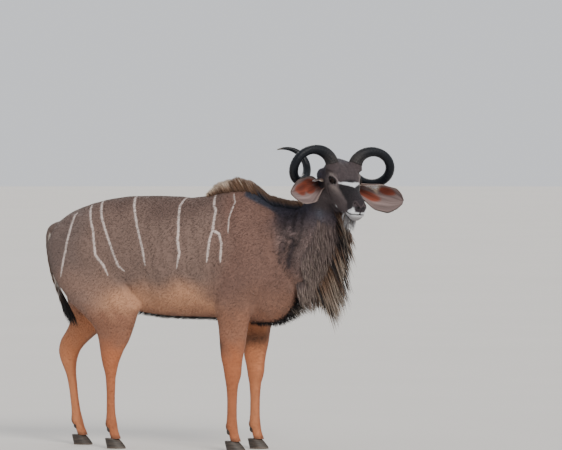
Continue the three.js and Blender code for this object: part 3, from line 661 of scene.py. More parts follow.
class Nodes:
    """Adds nodes to a tree, with inputs given as values or as other nodes' outputs."""

    def __init__(self, tree: bpy.types.NodeTree) -> None:
        """Keeps the tree that it adds to."""
        self.tree = tree

    def add(self, kind: str, inputs: dict | None = None, **settings: object) -> Node:
        """Adds a node and sets what it is told.

        Args:
            kind: the node's type.
            inputs: values or outputs for its sockets.
            settings: its own properties, by name.

        Returns:
            The node.
        """
        node = self.tree.nodes.new(kind)
        for name, value in settings.items():
            setattr(node, name, value)
        for key, value in (inputs or {}).items():
            self.feed(node.inputs[key], value)
        return node

    def feed(self, socket: Socket, value: object) -> None:
        """Links an output to a socket, or sets the socket to a value.

        Args:
            socket: the socket to feed.
            value: an output or a plain value.
        """
        if isinstance(value, Socket):
            self.tree.links.new(value, socket)
        else:
            socket.default_value = value

    def math(self, operation: str, *values: object) -> Socket:
        """Returns the result of a Math node of this tree's kind."""
        return self.add("ShaderNodeMath", dict(enumerate(values)), operation=operation).outputs[0]

    def ramp(self, value: Socket, low: float, high: float, start: float = 0.0,
             end: float = 1.0) -> Socket:
        """Returns value taken smoothly from low and high to start and end."""
        inputs = {"Value": value, "From Min": low, "From Max": high, "To Min": start, "To Max": end}
        return self.add("ShaderNodeMapRange", inputs, interpolation_type="SMOOTHSTEP").outputs[0]

    def mix(self, share: object, first: object, second: object, how: str = "MIX") -> Socket:
        """Mixes two colours.

        Args:
            share: how much of the second.
            first: one colour.
            second: the other.
            how: the blend type.

        Returns:
            The mixed colour's socket.
        """
        node = self.add("ShaderNodeMix", data_type="RGBA", blend_type=how)
        for socket, value in zip((node.inputs[0], node.inputs[6], node.inputs[7]), (share, first, second)):
            self.feed(socket, value)
        return node.outputs[2]

    def shaded(self, tint: Socket, bright: Socket) -> Socket:
        """Returns a colour made lighter or darker by a value."""
        grey = self.add("ShaderNodeCombineXYZ", {0: bright, 1: bright, 2: bright}).outputs[0]
        return self.mix(1.0, tint, grey, "MULTIPLY")

    def place(self) -> Socket:
        """Returns the place on the object."""
        return self.add("ShaderNodeTexCoord").outputs["Object"]

    def drawn(self, uv_map: str, scale: tuple) -> Socket:
        """Returns a UV map's place, drawn out by a scale."""
        along = self.add("ShaderNodeUVMap", uv_map=uv_map).outputs[0]
        return self.add("ShaderNodeMapping", {"Vector": along, "Scale": scale}).outputs[0]

    def noise(self, vector: Socket, scale: float, detail: float = 2.0) -> Socket:
        """Returns a noise texture's value."""
        inputs = {"Vector": vector, "Scale": scale, "Detail": detail}
        return self.add("ShaderNodeTexNoise", inputs).outputs[0]

    def attribute(self, name: str) -> Node:
        """Returns the node that reads a mesh attribute."""
        return self.add("ShaderNodeAttribute", attribute_name=name)


def rgba(tint: Tint) -> tuple:
    """Returns a tint as a shader colour."""
    return (*tint.linear.tolist(), 1.0)


@dataclass(frozen=True)
class Finish:
    """A finish with one Principled shader. Subclasses give its colour and bump."""

    name: str
    roughness: float = 0.7
    specular: float = 0.3
    sheen: float = 0.0

    def material(self) -> bpy.types.Material:
        """Builds the finish's node material.

        Returns:
            The material.
        """
        material = bpy.data.materials.new(self.name)
        material.use_nodes = True
        material.node_tree.nodes.clear()
        nodes = Nodes(material.node_tree)
        inputs = {"Roughness": self.roughness, "Specular IOR Level": self.specular,
                  "Sheen Weight": self.sheen, "Sheen Roughness": 0.5}
        shader = nodes.add("ShaderNodeBsdfPrincipled", inputs)
        output = nodes.add("ShaderNodeOutputMaterial")
        nodes.tree.links.new(shader.outputs[0], output.inputs[0])
        self.dress(nodes, shader)
        return material

    def dress(self, nodes: Nodes, shader: Node) -> None:
        """Links the colour and bump."""

    def bump(self, nodes: Nodes, shader: Node, height: Socket, depth: float) -> None:
        """Links a bump of that depth in metres."""
        made = nodes.add("ShaderNodeBump", {"Height": height, "Strength": 1.0, "Distance": depth})
        nodes.tree.links.new(made.outputs[0], shader.inputs["Normal"])


@dataclass(frozen=True)
class HideFinish(Finish):
    """Short coat: the tint kept on the mesh, the white stripes, soft patches and hair streaks."""

    streaks: bool = True

    def dress(self, nodes: Nodes, shader: Node) -> None:
        """Links tint, stripes, patches and streaks.

        Args:
            nodes: the material's nodes.
            shader: its surface shader.
        """
        place = nodes.place()
        tint = nodes.attribute("coat_tint").outputs["Color"]
        gap = nodes.attribute("stripe_gap").outputs["Fac"]
        edge = nodes.math("SUBTRACT", nodes.noise(place, 130.0, 3.0), 0.5)
        white = nodes.ramp(nodes.math("MULTIPLY_ADD", edge, 0.006, gap), -0.001, 0.0042, 0.86, 0.0)
        patches = nodes.ramp(nodes.noise(place, 9.0, 4.0), 0.3, 0.7, 0.93, 1.06)
        fine = nodes.ramp(nodes.noise(place, 420.0, 3.0), 0.25, 0.75, 0.92, 1.07)
        if self.streaks:
            hair = nodes.noise(nodes.drawn("coat_uv", (150.0, 1500.0, 1.0)), 1.0, 4.0)
            fine = nodes.math("MULTIPLY", fine, nodes.ramp(hair, 0.3, 0.7, 0.94, 1.05))
            self.bump(nodes, shader, nodes.math("ADD", hair, nodes.noise(place, 420.0, 3.0)), 0.00025)
        else:
            tip = nodes.attribute("blade_tip").outputs["Fac"]
            fine = nodes.math("MULTIPLY", fine, nodes.ramp(tip, 0.0, 1.0, 0.96, 1.04))
        coloured = nodes.mix(white, tint, rgba(Tint.STRIPE))
        shaded = nodes.shaded(coloured, nodes.math("MULTIPLY", patches, fine))
        nodes.feed(shader.inputs["Base Color"], shaded)


@dataclass(frozen=True)
class LockFinish(Finish):
    """Long hair: the tint of each lock, darker at its root and varied along it."""

    def dress(self, nodes: Nodes, shader: Node) -> None:
        """Links tint, root shade and strands.

        Args:
            nodes: the material's nodes.
            shader: its surface shader.
        """
        root = nodes.attribute("coat_tint").outputs["Color"]
        end = nodes.attribute("tip_tint").outputs["Color"]
        tip = nodes.attribute("blade_tip").outputs["Fac"]
        strands = nodes.ramp(nodes.noise(nodes.place(), 300.0, 2.0), 0.25, 0.75, 0.78, 1.2)
        bright = nodes.math("MULTIPLY", strands, nodes.ramp(tip, 0.0, 0.5, 0.7, 1.05))
        shaded = nodes.shaded(nodes.mix(nodes.ramp(tip, 0.25, 0.9), root, end), bright)
        nodes.feed(shader.inputs["Base Color"], shaded)


@dataclass(frozen=True)
class HornFinish(Finish):
    """Dark ridged horn, greyer and rougher at its base, with streaks along its length."""

    dark: tuple = (0.0022, 0.0034, 0.0058, 1)
    light: tuple = (0.0085, 0.0105, 0.015, 1)
    dusty: tuple = (0.045, 0.037, 0.034, 1)
    tip: tuple = (0.12, 0.10, 0.08, 1)

    def dress(self, nodes: Nodes, shader: Node) -> None:
        """Links streaks, base dust and bump.

        Args:
            nodes: the material's nodes.
            shader: its surface shader.
        """
        streak = nodes.noise(nodes.drawn("horn_uv", (16.0, 260.0, 1.0)), 1.0, 5.0)
        share = nodes.attribute("horn_share").outputs["Fac"]
        tint = nodes.mix(nodes.ramp(streak, 0.35, 0.7), self.dark, self.light)
        dust = nodes.math("MULTIPLY", nodes.ramp(share, 0.0, 0.16, 0.8, 0.0), nodes.ramp(streak, 0.3, 0.6))
        tint = nodes.mix(dust, tint, self.dusty)
        tint = nodes.mix(nodes.ramp(share, 0.95, 1.0), tint, self.tip)
        nodes.feed(shader.inputs["Base Color"], tint)
        nodes.feed(shader.inputs["Roughness"], nodes.ramp(share, 0.0, 0.5, 0.52, 0.3))
        self.bump(nodes, shader, nodes.math("ADD", streak, nodes.noise(nodes.place(), 500.0, 2.0)), 0.0009)


@dataclass(frozen=True)
class HoofFinish(Finish):
    """Dark hoof with fine growth rings and worn edges."""

    dark: tuple = (0.016, 0.013, 0.011, 1)
    light: tuple = (0.07, 0.052, 0.04, 1)
    worn: tuple = (0.16, 0.12, 0.09, 1)

    def dress(self, nodes: Nodes, shader: Node) -> None:
        """Links growth rings and wear.

        Args:
            nodes: the material's nodes.
            shader: its surface shader.
        """
        place = nodes.place()
        flat = nodes.add("ShaderNodeMapping", {"Vector": place, "Scale": (18.0, 18.0, 330.0)}).outputs[0]
        rings = nodes.noise(flat, 1.0, 3.0)
        tint = nodes.mix(nodes.ramp(rings, 0.3, 0.7), self.dark, self.light)
        height = nodes.add("ShaderNodeSeparateXYZ", {0: place}).outputs[2]
        tint = nodes.mix(nodes.ramp(height, 0.0, 0.012, 0.6, 0.0), tint, self.worn)
        nodes.feed(shader.inputs["Base Color"], tint)
        self.bump(nodes, shader, rings, 0.0008)


@dataclass(frozen=True)
class EyeFinish(Finish):
    """Wet dark eye: a wide dark pupil in a brown iris, black at its edge."""

    pupil: tuple = (0.36, 0.24)
    pupil_tint: tuple = (0.003, 0.003, 0.004, 1)
    iris_dark: tuple = (0.008, 0.004, 0.003, 1)
    iris_light: tuple = (0.022, 0.010, 0.006, 1)
    rim: tuple = (0.010, 0.007, 0.006, 1)

    def dress(self, nodes: Nodes, shader: Node) -> None:
        """Links pupil, iris and rim.

        Args:
            nodes: the material's nodes.
            shader: its surface shader.
        """
        gaze = nodes.attribute("gaze").outputs["Vector"]
        parts = nodes.add("ShaderNodeSeparateXYZ", {0: gaze})
        squares = []
        for output, reach in zip(parts.outputs[:2], self.pupil):
            part = nodes.math("DIVIDE", output, reach)
            squares.append(nodes.math("MULTIPLY", part, part))
        pupil = nodes.math("SQRT", nodes.math("ADD", *squares))
        reach = nodes.add("ShaderNodeVectorMath", {0: gaze}, operation="LENGTH").outputs["Value"]
        iris = nodes.mix(nodes.noise(gaze, 14.0, 4.0), self.iris_dark, self.iris_light)
        tint = nodes.mix(nodes.ramp(pupil, 0.85, 1.08), self.pupil_tint, iris)
        tint = nodes.mix(nodes.ramp(reach, 0.5, 0.68), tint, self.rim)
        nodes.feed(shader.inputs["Base Color"], tint)


@dataclass(frozen=True)
class FloorFinish(Finish):
    """Plain pale floor with the faintest mottling."""

    dark: tuple = (0.62, 0.60, 0.57, 1)
    light: tuple = (0.66, 0.64, 0.61, 1)

    def dress(self, nodes: Nodes, shader: Node) -> None:
        """Links the floor's colour.

        Args:
            nodes: the material's nodes.
            shader: its surface shader.
        """
        mottling = nodes.noise(nodes.place(), 0.7, 2.0)
        tint = nodes.mix(mottling, self.dark, self.light)
        nodes.feed(shader.inputs["Base Color"], tint)


HIDE = HideFinish("hide", roughness=0.78, specular=0.22, sheen=0.06)
FUR = HideFinish("fur_tufts", roughness=0.72, specular=0.22, sheen=0.06, streaks=False)
LOCKS = LockFinish("long_hair", roughness=0.6, specular=0.3, sheen=0.05)
HORN_FINISH = HornFinish("horn", roughness=0.36, specular=0.22)
HOOF_FINISH = HoofFinish("hoof", roughness=0.5, specular=0.4)
EYE_FINISH = EyeFinish("eye", roughness=0.12, specular=0.14)
FLOOR_FINISH = FloorFinish("floor", roughness=0.9, specular=0.1)


@dataclass(frozen=True)
class Swell:
    """A soft rise or hollow of the skin: its middle, its radii and its height in millimetres."""

    at: tuple
    radii: tuple
    height: float
    mirrored: bool = True

    def lift(self, points: Array) -> Array:
        """Works out how far it lifts the skin.

        Args:
            points: places in the body's frame, (N, 3).

        Returns:
            The lift of each place.
        """
        total = np.zeros(len(points))
        for side in ((1, -1) if self.mirrored else (1,)):
            middle = np.array(self.at) * mirror(side)
            away = (((points - middle) / np.array(self.radii)) ** 2).sum(axis=1)
            total += self.height * np.exp(-away)
        return total


@dataclass(frozen=True)
class Crease:
    """A groove, or a ridge where its depth is negative, along a line of points."""

    line: tuple
    width: float
    depth: float
    mirrored: bool = True

    def lift(self, points: Array) -> Array:
        """Works out how far it lifts the skin.

        Args:
            points: places in the body's frame, (N, 3).

        Returns:
            The lift of each place.
        """
        total = np.zeros(len(points))
        for side in ((1, -1) if self.mirrored else (1,)):
            line = np.array(self.line, float) * mirror(side)
            away, share = distance_to_line(points, line)
            fade = np.sin(math.pi * np.clip(share, 0.06, 0.94)) ** 0.5
            total -= self.depth * np.exp(-((away / self.width) ** 2)) * fade
        return total


def distance_to_line(points: Array, line: Array) -> tuple[Array, Array]:
    """Distance to a line of points.

    Args:
        points: places, (N, D).
        line: the line's points, (M, D).

    Returns:
        Each place's distance, and its share of the line's length.
    """
    lengths = np.linalg.norm(np.diff(line, axis=0), axis=1)
    starts = np.concatenate([[0], np.cumsum(lengths)])
    best, share = np.full(len(points), 1e9), np.zeros(len(points))
    for i, length in enumerate(lengths):
        step = line[i + 1] - line[i]
        t = np.clip(((points - line[i]) @ step) / length**2, 0, 1)
        away = np.linalg.norm(points - line[i] - t[:, None] * step, axis=1)
        nearer = away < best
        best = np.where(nearer, away, best)
        share = np.where(nearer, (starts[i] + t * length) / starts[-1], share)
    return best, share


@dataclass
class Horns:
    """The two spiral horns with their keel, ridges and bare tips, in the head's millimetres and degrees."""

    centre: tuple = (-28, 155.4, 67.5)
    azimuth: float = 18.6
    drop: float = 23.65
    start: float = -1.7
    turns: float = 471.0
    seat: float = 10.0
    ring: float = 87.0
    taper: float = 13.7
    widen: float = 1.12
    advance: float = 190.0
    advance_power: float = 1.38
    rings: int = 300
    sides: int = 40
    radii: tuple = ((-30, 34.5), (0, 34), (22, 30.5), (49, 26.8), (108, 22.6), (177, 23.4), (246, 22.4),
                    (354, 19.8), (423, 11.6), (460, 4.6), (471, 2))
    ridge_pitch: float = 15.0
    around: float = 0.13

    def path(self, degrees: Array) -> Array:
        """Follows the left horn's spiral.

        Args:
            degrees: angles from its root.

        Returns:
            The spiral's points there, (N, 3).
        """
        degrees = np.atleast_1d(np.asarray(degrees, float))
        azimuth, drop = math.radians(self.azimuth), math.radians(self.drop)
        flat = math.cos(drop)
        axis = np.array([-flat * math.cos(azimuth), flat * math.sin(azimuth), -math.sin(drop)])
        outward = -unit(np.cross(axis, [0, 0, 1]))
        outward = outward if outward[1] > 0 else -outward
        upward = unit(np.cross(axis, outward))
        upward = upward if upward[2] > 0 else -upward
        radius = self.ring - self.taper * np.maximum(0, degrees) / self.turns
        angle = np.radians(degrees + self.start)
        run = np.sign(degrees) * self.advance * np.abs(degrees / 360) ** self.advance_power
        return (np.array(self.centre) + run[:, None] * axis
                - (np.cos(angle) * radius * self.widen)[:, None] * outward
                + (np.sin(angle) * radius)[:, None] * upward)

    def frames(self, degrees: Array) -> tuple[Array, Array, Array]:
        """Finds the spiral's frames.

        Args:
            degrees: angles from its root.

        Returns:
            Its points, inward directions and cross directions.
        """
        points = self.path(degrees)
        ahead = unit(self.path(degrees + 2) - self.path(degrees - 2))
        inward = np.array(self.centre) - points
        side = unit(inward - (inward * ahead).sum(axis=1)[:, None] * ahead)
        return points, side, np.cross(ahead, side)

    def shell(self, start: float, end: float, side: int, rings: int, detail: float = 1.0) -> Shell:
        """Skins one horn between two angles of its spiral.

        Args:
            start: angle of the first ring, in degrees.
            end: angle of the last ring, in degrees.
            side: 1 for the left horn and -1 for the right one.
            rings: how many rings it has.
            detail: how high its ridges stand, from 0 to 1.

        Returns:
            The horn, with its share of the length and its flat place as values.
        """
        degrees = np.linspace(start, end, rings)
        points, inward, across = self.frames(degrees)
        steps = np.concatenate([[0], np.cumsum(np.linalg.norm(np.diff(points, axis=0), axis=1))])
        radius = Stations(self.radii).at(degrees)[1] * 0.985
        angle = np.arange(self.sides) * TURN / self.sides
        share = np.clip(degrees / self.turns, 0, 1)
        fade = detail * (1 - smoothstep(0.25, 0.8, share))
        keel = 0.15 * bell((angle, 0, 0.36)) + 0.15 * bell((angle, TURN, 0.36))
        keel = keel + 0.07 * bell((angle, 3.3, 0.5))
        wave = np.sin(steps[:, None] * TURN / self.ridge_pitch + 0.8 * np.cos(angle + 0.7)
                      + 0.5 * np.sin(steps[:, None] / 31))
        ridges = 0.014 * fade[:, None] * np.sign(wave) * np.abs(wave) ** 0.7 * (1.1 - 0.5 * np.cos(angle * 2))
        fade_keel = (1 - 0.6 * smoothstep(0.6, 1, share))[:, None]
        reach = radius[:, None] * (1 + keel * fade_keel + ridges)
        turned = angle + np.radians(degrees * 0.5)[:, None]
        skin = (points[:, None] + inward[:, None] * (np.cos(turned) * reach)[..., None]
                + across[:, None] * (np.sin(turned) * reach)[..., None])
        made = loft(BODY.head_to_body(skin * mirror(side)))
        run = np.repeat(steps * MM, self.sides)
        around = np.tile(angle / TURN * self.around, rings)
        made.values["horn_share"] = np.append(np.repeat(share, self.sides), share[[0, -1]])
        made.values["flat_place"] = np.stack([np.append(run, run[[0, -1]]), np.append(around, [0, 0]),
                                              np.zeros(len(run) + 2)], axis=1)
        return made

    def build(self) -> None:
        """Makes both horns."""
        for label, side in SIDES:
            obj = make_object(f"horn_{label}_ridged", self.shell(self.seat - 3, self.turns, side, self.rings))
            uv_from_points(obj.data, "horn_uv", self.around)
            obj.data.materials.append(HORN_FINISH.material())
            finish_piece(obj, "horn", f"horn_{label}")


def uv_from_points(mesh: Mesh, name: str, period: float = 0.0) -> None:
    """Makes a UV map of the points' flat places.

    Args:
        mesh: the mesh, with flat_place as a point vector, which is taken away.
        name: the map's name.
        period: way round the piece in V, where the map comes round on itself.
    """
    flat = np.zeros(len(mesh.vertices) * 3, np.float32)
    mesh.attributes["flat_place"].data.foreach_get("vector", flat)
    uv = flat.reshape(-1, 3)[corners_of(mesh), :2].astype(float)
    if period:
        starts, totals = np.zeros(len(mesh.polygons), np.int32), np.zeros(len(mesh.polygons), np.int32)
        mesh.polygons.foreach_get("loop_start", starts)
        mesh.polygons.foreach_get("loop_total", totals)
        first = np.repeat(uv[starts, 1], totals)
        uv[:, 1] += period * np.round((first - uv[:, 1]) / period)
    mesh.uv_layers.new(name=name).data.foreach_set("uv", uv.astype(np.float32).ravel())
    mesh.attributes.remove(mesh.attributes["flat_place"])


# Places where one part of the body grows from another, each with its reach
BODY_JOINS = [
    ((-330, 150, 760), 150), ((-210, 140, 700), 120), ((-480, 60, 760), 120), ((-500, 150, 1150), 110),
    ((430, 110, 690), 130), ((480, 130, 1080), 150), ((300, 150, 760), 90), ((560, 110, 880), 110),
    ((620, 90, 1190), 150), ((700, 60, 850), 110), ((640, 100, 700), 100), ((-632, 0, 1112), 60),
]
HEAD_JOINS = [((-100, 0, -110), 75), ((-140, 0, 20), 60), ((-90, 70, -50), 34), ((-40, 46, 78), 22)]


class Region(Enum):
    """Stretches of the hide, each with its own rectangle of the unwrap: left, right, bottom and top."""

    TRUNK = (0.01, 0.60, 0.42, 0.99)
    NECK = (0.63, 0.99, 0.64, 0.99)
    HEAD = (0.63, 0.99, 0.22, 0.61)
    TAIL = (0.63, 0.99, 0.02, 0.19)
    FRONT_RIGHT = (0.01, 0.14, 0.02, 0.38)
    FRONT_LEFT = (0.16, 0.29, 0.02, 0.38)
    HIND_RIGHT = (0.31, 0.44, 0.02, 0.38)
    HIND_LEFT = (0.46, 0.59, 0.02, 0.38)

    @property
    def index(self) -> int:
        """The number by which a place's region is kept."""
        return list(Region).index(self)


@dataclass
class Hide:
    """The whole skin: lofts of the body's parts, with muscles, folds, markings and the lie of hair."""

    coarse: float = 0.0042
    quick_coarse: float = 0.007
    target_faces: int = 76000
    inset: float = 3.0
    face_inset: float = 1.2
    stripe_reach: float = 0.009
    fine_eye: float = 52.0
    fine_nose: float = 140.0
    obj: Object | None = None
    tree: BVHTree | None = None
    points: Array = field(default_factory=lambda: np.zeros((0, 3)))
    corner_uv: Array = field(default_factory=lambda: np.zeros((0, 3, 2)))

    def trunk(self) -> Shell:
        """Lofts the trunk.

        Returns:
            The closed loft.
        """
        rear, front = TRUNK.table[0, 0], TRUNK.table[-1, 0]
        share = 0.5 - 0.5 * np.cos(np.linspace(0, math.pi, 100))
        return loft(cross_rings(TRUNK, rear + (front - rear) * share))

    def neck(self) -> Shell:
        """Lofts the neck.

        Returns:
            The closed loft.
        """
        _, x, y, z, lean, depth, half, turn = NECK.at(np.linspace(0, 1, 70))
        lean, turn = np.radians(lean), np.radians(turn)
        side = np.stack([-np.sin(turn), np.cos(turn), 0 * turn], axis=1)
        along = np.stack([np.cos(lean) * np.cos(turn), np.cos(lean) * np.sin(turn), np.sin(lean)], axis=1)
        centre = np.stack([x, y, z], axis=1)
        return loft(rings_of(centre, side, -np.cross(side, along), half, depth, depth, sides=60))

    def head(self) -> Shell:
        """Returns the head's loft, in body places."""
        rings = cross_rings(HEAD, 39 - 209 * np.cos(np.linspace(0, math.pi, 100)))
        return loft(BODY.head_to_body(rings))

    def leg(self, label: str, hind: bool) -> Shell:
        """Lofts one leg.

        Args:
            label: right or left.
            hind: whether it is a hind leg.

        Returns:
            The closed loft.
        """
        table = HIND_LEG if hind else FRONT_LEG
        height = np.linspace(table.table[-1, 0], table.table[0, 0], 120)
        row = table.at(height)
        x0, y0 = (HIND_LEGS if hind else FRONT_LEGS)[label]
        shift = x0 * row[5] if hind else np.full(len(height), float(x0))
        centre = np.stack([shift + (row[1] + row[2]) / 2, y0 - np.sign(y0) * row[4], height], axis=1)
        side, up = np.tile([0, 1, 0], (len(height), 1)), np.tile([1, 0, 0], (len(height), 1))
        depth = (row[1] - row[2]) / 2
        return loft(rings_of(centre, side, up, row[3], depth, depth, 2.2, 2, 40))

    def tail(self) -> Shell:
        """Lofts the tail.

        Returns:
            The closed loft.
        """
        share = np.linspace(0, 1.2, 60)
        _, x, z, radius = TAIL.at(share)
        _, x2, z2, _ = TAIL.at(np.minimum(1.2, share + 0.02))
        _, x1, z1, _ = TAIL.at(np.maximum(0, share - 0.02))
        along = unit(np.stack([x2 - x1, 0 * x, z2 - z1], axis=1))
        side = np.tile([0, 1, 0], (len(x), 1))
        centre = np.stack([x, 0 * x, z], axis=1)
        return loft(rings_of(centre, side, np.cross(side, along), radius * 1.2, radius, radius, sides=24))

    def roots(self) -> Shell:
        """Makes what carries the ears and horns.

        Returns:
            The plugs as one shell.
        """
        made = None
        share = np.linspace(-0.14, 0.05, 10)
        radius = np.interp(share, [-0.14, -0.04, 0.02, 0.05], [36, 34, 29, 22])
        for label, side in SIDES:
            way = unit(np.array(EAR_WAY[label]))
            centre = np.array(EAR_ROOT, float) + share[:, None] * Ears.length * way
            up = unit(np.cross(way, [0, 0, 1]))
            ways = [np.tile(v, (len(share), 1)) for v in (up, np.cross(way, up))]
            rings = rings_of(centre, *ways, radius, radius, radius, sides=28)
            plug = loft(BODY.head_to_body(rings * mirror(side)))
            bulge = ball(*EAR_BASE)
            bulge.points = BODY.head_to_body(bulge.points * mirror(side))
            plug = plug.plus(bulge)
            made = plug if made is None else made.plus(plug)
            made = made.plus(Horns().shell(-26, Horns.seat + 1, side, 16, 0.0))
        return made

    def build(self) -> None:
        """Makes the skin and stores what the coat reads."""
        whole = self.trunk()
        for part in (self.neck(), self.head(), self.tail(), self.roots()):
            whole = whole.plus(part)
        for label, _ in SIDES:
            whole = whole.plus(self.leg(label, False)).plus(self.leg(label, True))
        obj = make_object("hide", whole)
        remesh = obj.modifiers.new("remesh", "REMESH")
        remesh.mode = "VOXEL"
        remesh.voxel_size = self.coarse
        obj.data = evaluated_copy(obj)
        points = read_points(obj.data)
        LOG.info("hide after remesh: %d points", len(points))
        body = BODY.to_body(points)
        edges = edges_of(obj.data)
        body = relax(body, edges, 14, 0.18 + 0.75 * self.joins(body))
        body = relax(body, edges, 5, 0.35)
        write_points(obj.data, BODY.to_row(body))
        self.thin(obj, body)
        self.refine_face(obj)
        self.obj = obj
        self.sculpt()
        self.mark()

    def joins(self, points: Array) -> Array:
        """Finds where one part grows from another.

        Args:
            points: places in the body's frame, (N, 3).

        Returns:
            How strongly each point is smoothed.
        """
        total = np.zeros(len(points))
        for places, joins in ((folded(points), BODY_JOINS), (folded(BODY.body_to_head(points)), HEAD_JOINS)):
            for middle, radius in joins:
                away = ((places - np.array(middle)) ** 2).sum(axis=1)
                total = np.maximum(total, np.exp(-away / radius**2))
        return total

    def thin(self, obj: Object, body: Array) -> None:
        """Decimates the body and keeps the head and the stripes fine.

        Args:
            obj: the skin.
            body: its points in the body's frame.
        """
        head = BODY.body_to_head(body)
        keep = (head[:, 0] > -95) & (head[:, 2] > -165) & (np.abs(head[:, 1]) < 130) & (body[:, 2] > 1130)
        keep |= stripe_gap(body) < self.stripe_reach
        group = obj.vertex_groups.new(name="thin")
        group.add(np.flatnonzero(~keep).tolist(), 1.0, "REPLACE")
        faces = len(obj.data.polygons) * 2
        kept = keep.sum() * 2
        modifier = obj.modifiers.new("thin", "DECIMATE")
        modifier.ratio = min(1.0, (self.target_faces + kept) / faces)
        modifier.vertex_group = "thin"
        modifier.vertex_group_factor = 10.0
        obj.data = evaluated_copy(obj)
        obj.vertex_groups.clear()
        LOG.info("hide thinned: %d faces, %d head points kept", len(obj.data.polygons), int(keep.sum()))

    def refine_face(self, obj: Object) -> None:
        """Splits the faces round the eyes, nose and mouth once more and rounds them.

        Args:
            obj: the skin.
        """
        bm = bmesh.new()
        bm.from_mesh(obj.data)
        bmesh.ops.triangulate(bm, faces=bm.faces)
        head = BODY.body_to_head(BODY.to_body(np.array([v.co for v in bm.verts], float)))
        from_eye = np.linalg.norm(folded(head) - np.array(EYE_AT), axis=1)
        inside = (from_eye < self.fine_eye) | (head[:, 0] > self.fine_nose)
        inside &= (np.abs(head[:, 1]) < 110) & (head[:, 2] > -160)
        edges = [e for e in bm.edges if inside[e.verts[0].index] and inside[e.verts[1].index]]
        bmesh.ops.subdivide_edges(bm, edges=edges, cuts=1)
        bmesh.ops.triangulate(bm, faces=bm.faces)
        bm.to_mesh(obj.data)
        bm.free()
        body = BODY.to_body(read_points(obj.data))
        head = BODY.body_to_head(body)
        inside = smoothstep(-60, -40, head[:, 0]) * (body[:, 2] > 1130)
        write_points(obj.data, BODY.to_row(relax(body, edges_of(obj.data), 4, 0.5 * inside)))
        LOG.info("hide with its fine face: %d faces", len(obj.data.polygons))

    def sculpt(self) -> None:
        """Moves the skin in by the coat's depth and raises muscles, bones and folds."""
        mesh = self.obj.data
        body = BODY.to_body(read_points(mesh))
        head = BODY.body_to_head(body)
        face = head_share(body)
        lift = -(self.inset + (self.face_inset - self.inset) * face)
        for piece in MUSCLES:
            lift += piece.lift(body) * (1 - face)
        for piece in FACE_FORMS:
            lift += piece.lift(head) * face
        swells = 1.4 * ripple(body, 130, 3) + 0.5 * ripple(body, 46, 4)
        lift += (1 - face) * swells * smoothstep(560, 760, body[:, 2])
        lift += (1 - face) * rib_waves(body)
        body = body + normals_of(mesh) * lift[:, None]
        write_points(mesh, BODY.to_row(body))
        head = self.open_eyes(BODY.body_to_head(body))
        write_points(mesh, BODY.to_row(BODY.head_to_body(head)))
        self.nose_and_mouth()
        mesh.shade_smooth()

    def open_eyes(self, head: Array) -> Array:
        """Sinks the skin behind each eyeball, where the lids stand over it.

        Args:
            head: places in the head's frame, (N, 3).

        Returns:
            The places with the sunk skin.
        """
        for _, side in SIDES:
            along, up, out = eye_places(head, side)
            reach = np.sqrt((along / 18) ** 2 + (up / 13) ** 2)
            sink = (1 - smoothstep(1.0, 1.45, reach)) * (out > -6)
            flat = np.sqrt(np.maximum(EYE_RADIUS**2 - along**2 - up**2, 0)) - 5
            head = head + (np.minimum(flat - out, 0) * sink)[:, None] * eye_axes(side)[2]
        return head

    def nose_and_mouth(self) -> None:
        """Hollows the nostrils and draws the line of the mouth."""
        mesh = self.obj.data
        body = BODY.to_body(read_points(mesh))
        head = BODY.body_to_head(body)
        face = head_share(body)
        lift = np.zeros(len(head))
        for piece in NOSE_FORMS:
            lift += piece.lift(head) * face
        body = body + normals_of(mesh) * lift[:, None]
        body = relax(body, edges_of(mesh), 1, 0.35 * face)
        write_points(mesh, BODY.to_row(body))

    def mark(self) -> None:
        """Stores tint, stripes, lie, hair length, cover and the unwrap on the mesh."""
        mesh = self.obj.data
        self.points = read_points(mesh)
        body = BODY.to_body(self.points)
        normals = normals_of(mesh)
        lie = relax(lie_of_hair(body, region_of(body)), edges_of(mesh), 12, 0.5)
        lie = unit(lie - (lie * normals).sum(axis=1)[:, None] * normals)
        length, cover = hair_length(body)
        tint = Markings(body, normals).tint()
        store_values(mesh, {"coat_tint": tint, "stripe_gap": stripe_gap(body), "lie": lie, "hair": length,
                            "cover": cover})
        self.unwrap()
        mesh.materials.append(HIDE.material())
        polygons = [p.vertices[:] for p in mesh.polygons]
        self.tree = BVHTree.FromPolygons([Vector(p) for p in self.points], polygons)

    def unwrap(self) -> None:
        """Lays each region out by its length and the way round it, in its own rectangle."""
        mesh = self.obj.data
        body = BODY.to_body(self.points)
        corners = corners_of(mesh)
        centres = body[corners.reshape(-1, 3)].mean(axis=1)
        region = np.repeat(region_of(centres), 3)
        middle = np.repeat(centres, 3, axis=0)
        uv = np.zeros((len(corners), 2))
        for name in Region:
            chosen = region == name.index
            along, around = along_and_around(body[corners[chosen]], name)
            _, reference = along_and_around(middle[chosen], name)
            around = around + np.round(reference - around)
            left, right, bottom, top = name.value
            uv[chosen, 0] = left + (right - left) * np.clip(along, 0, 1)
            uv[chosen, 1] = bottom + (top - bottom) * np.clip(0.03 + 0.94 * around, 0, 1)
        layer = mesh.uv_layers.new(name="coat_uv")
        layer.data.foreach_set("uv", uv.astype(np.float32).ravel())
        self.corner_uv = uv.reshape(-1, 3, 2)

    def nearest(self, body: Array) -> tuple[Array, Array]:
        """Finds the skin under body places.

        Args:
            body: places, (N, 3).

        Returns:
            The skin's body place and its place on the unwrap under each.
        """
        spots, uvs = [], []
        for point in BODY.to_row(body):
            spot, _, face, _ = self.tree.find_nearest(Vector(point))
            spots.append(spot[:])
            uvs.append(self.corner_uv[face].mean(axis=0))
        return BODY.to_body(np.array(spots)), np.array(uvs)


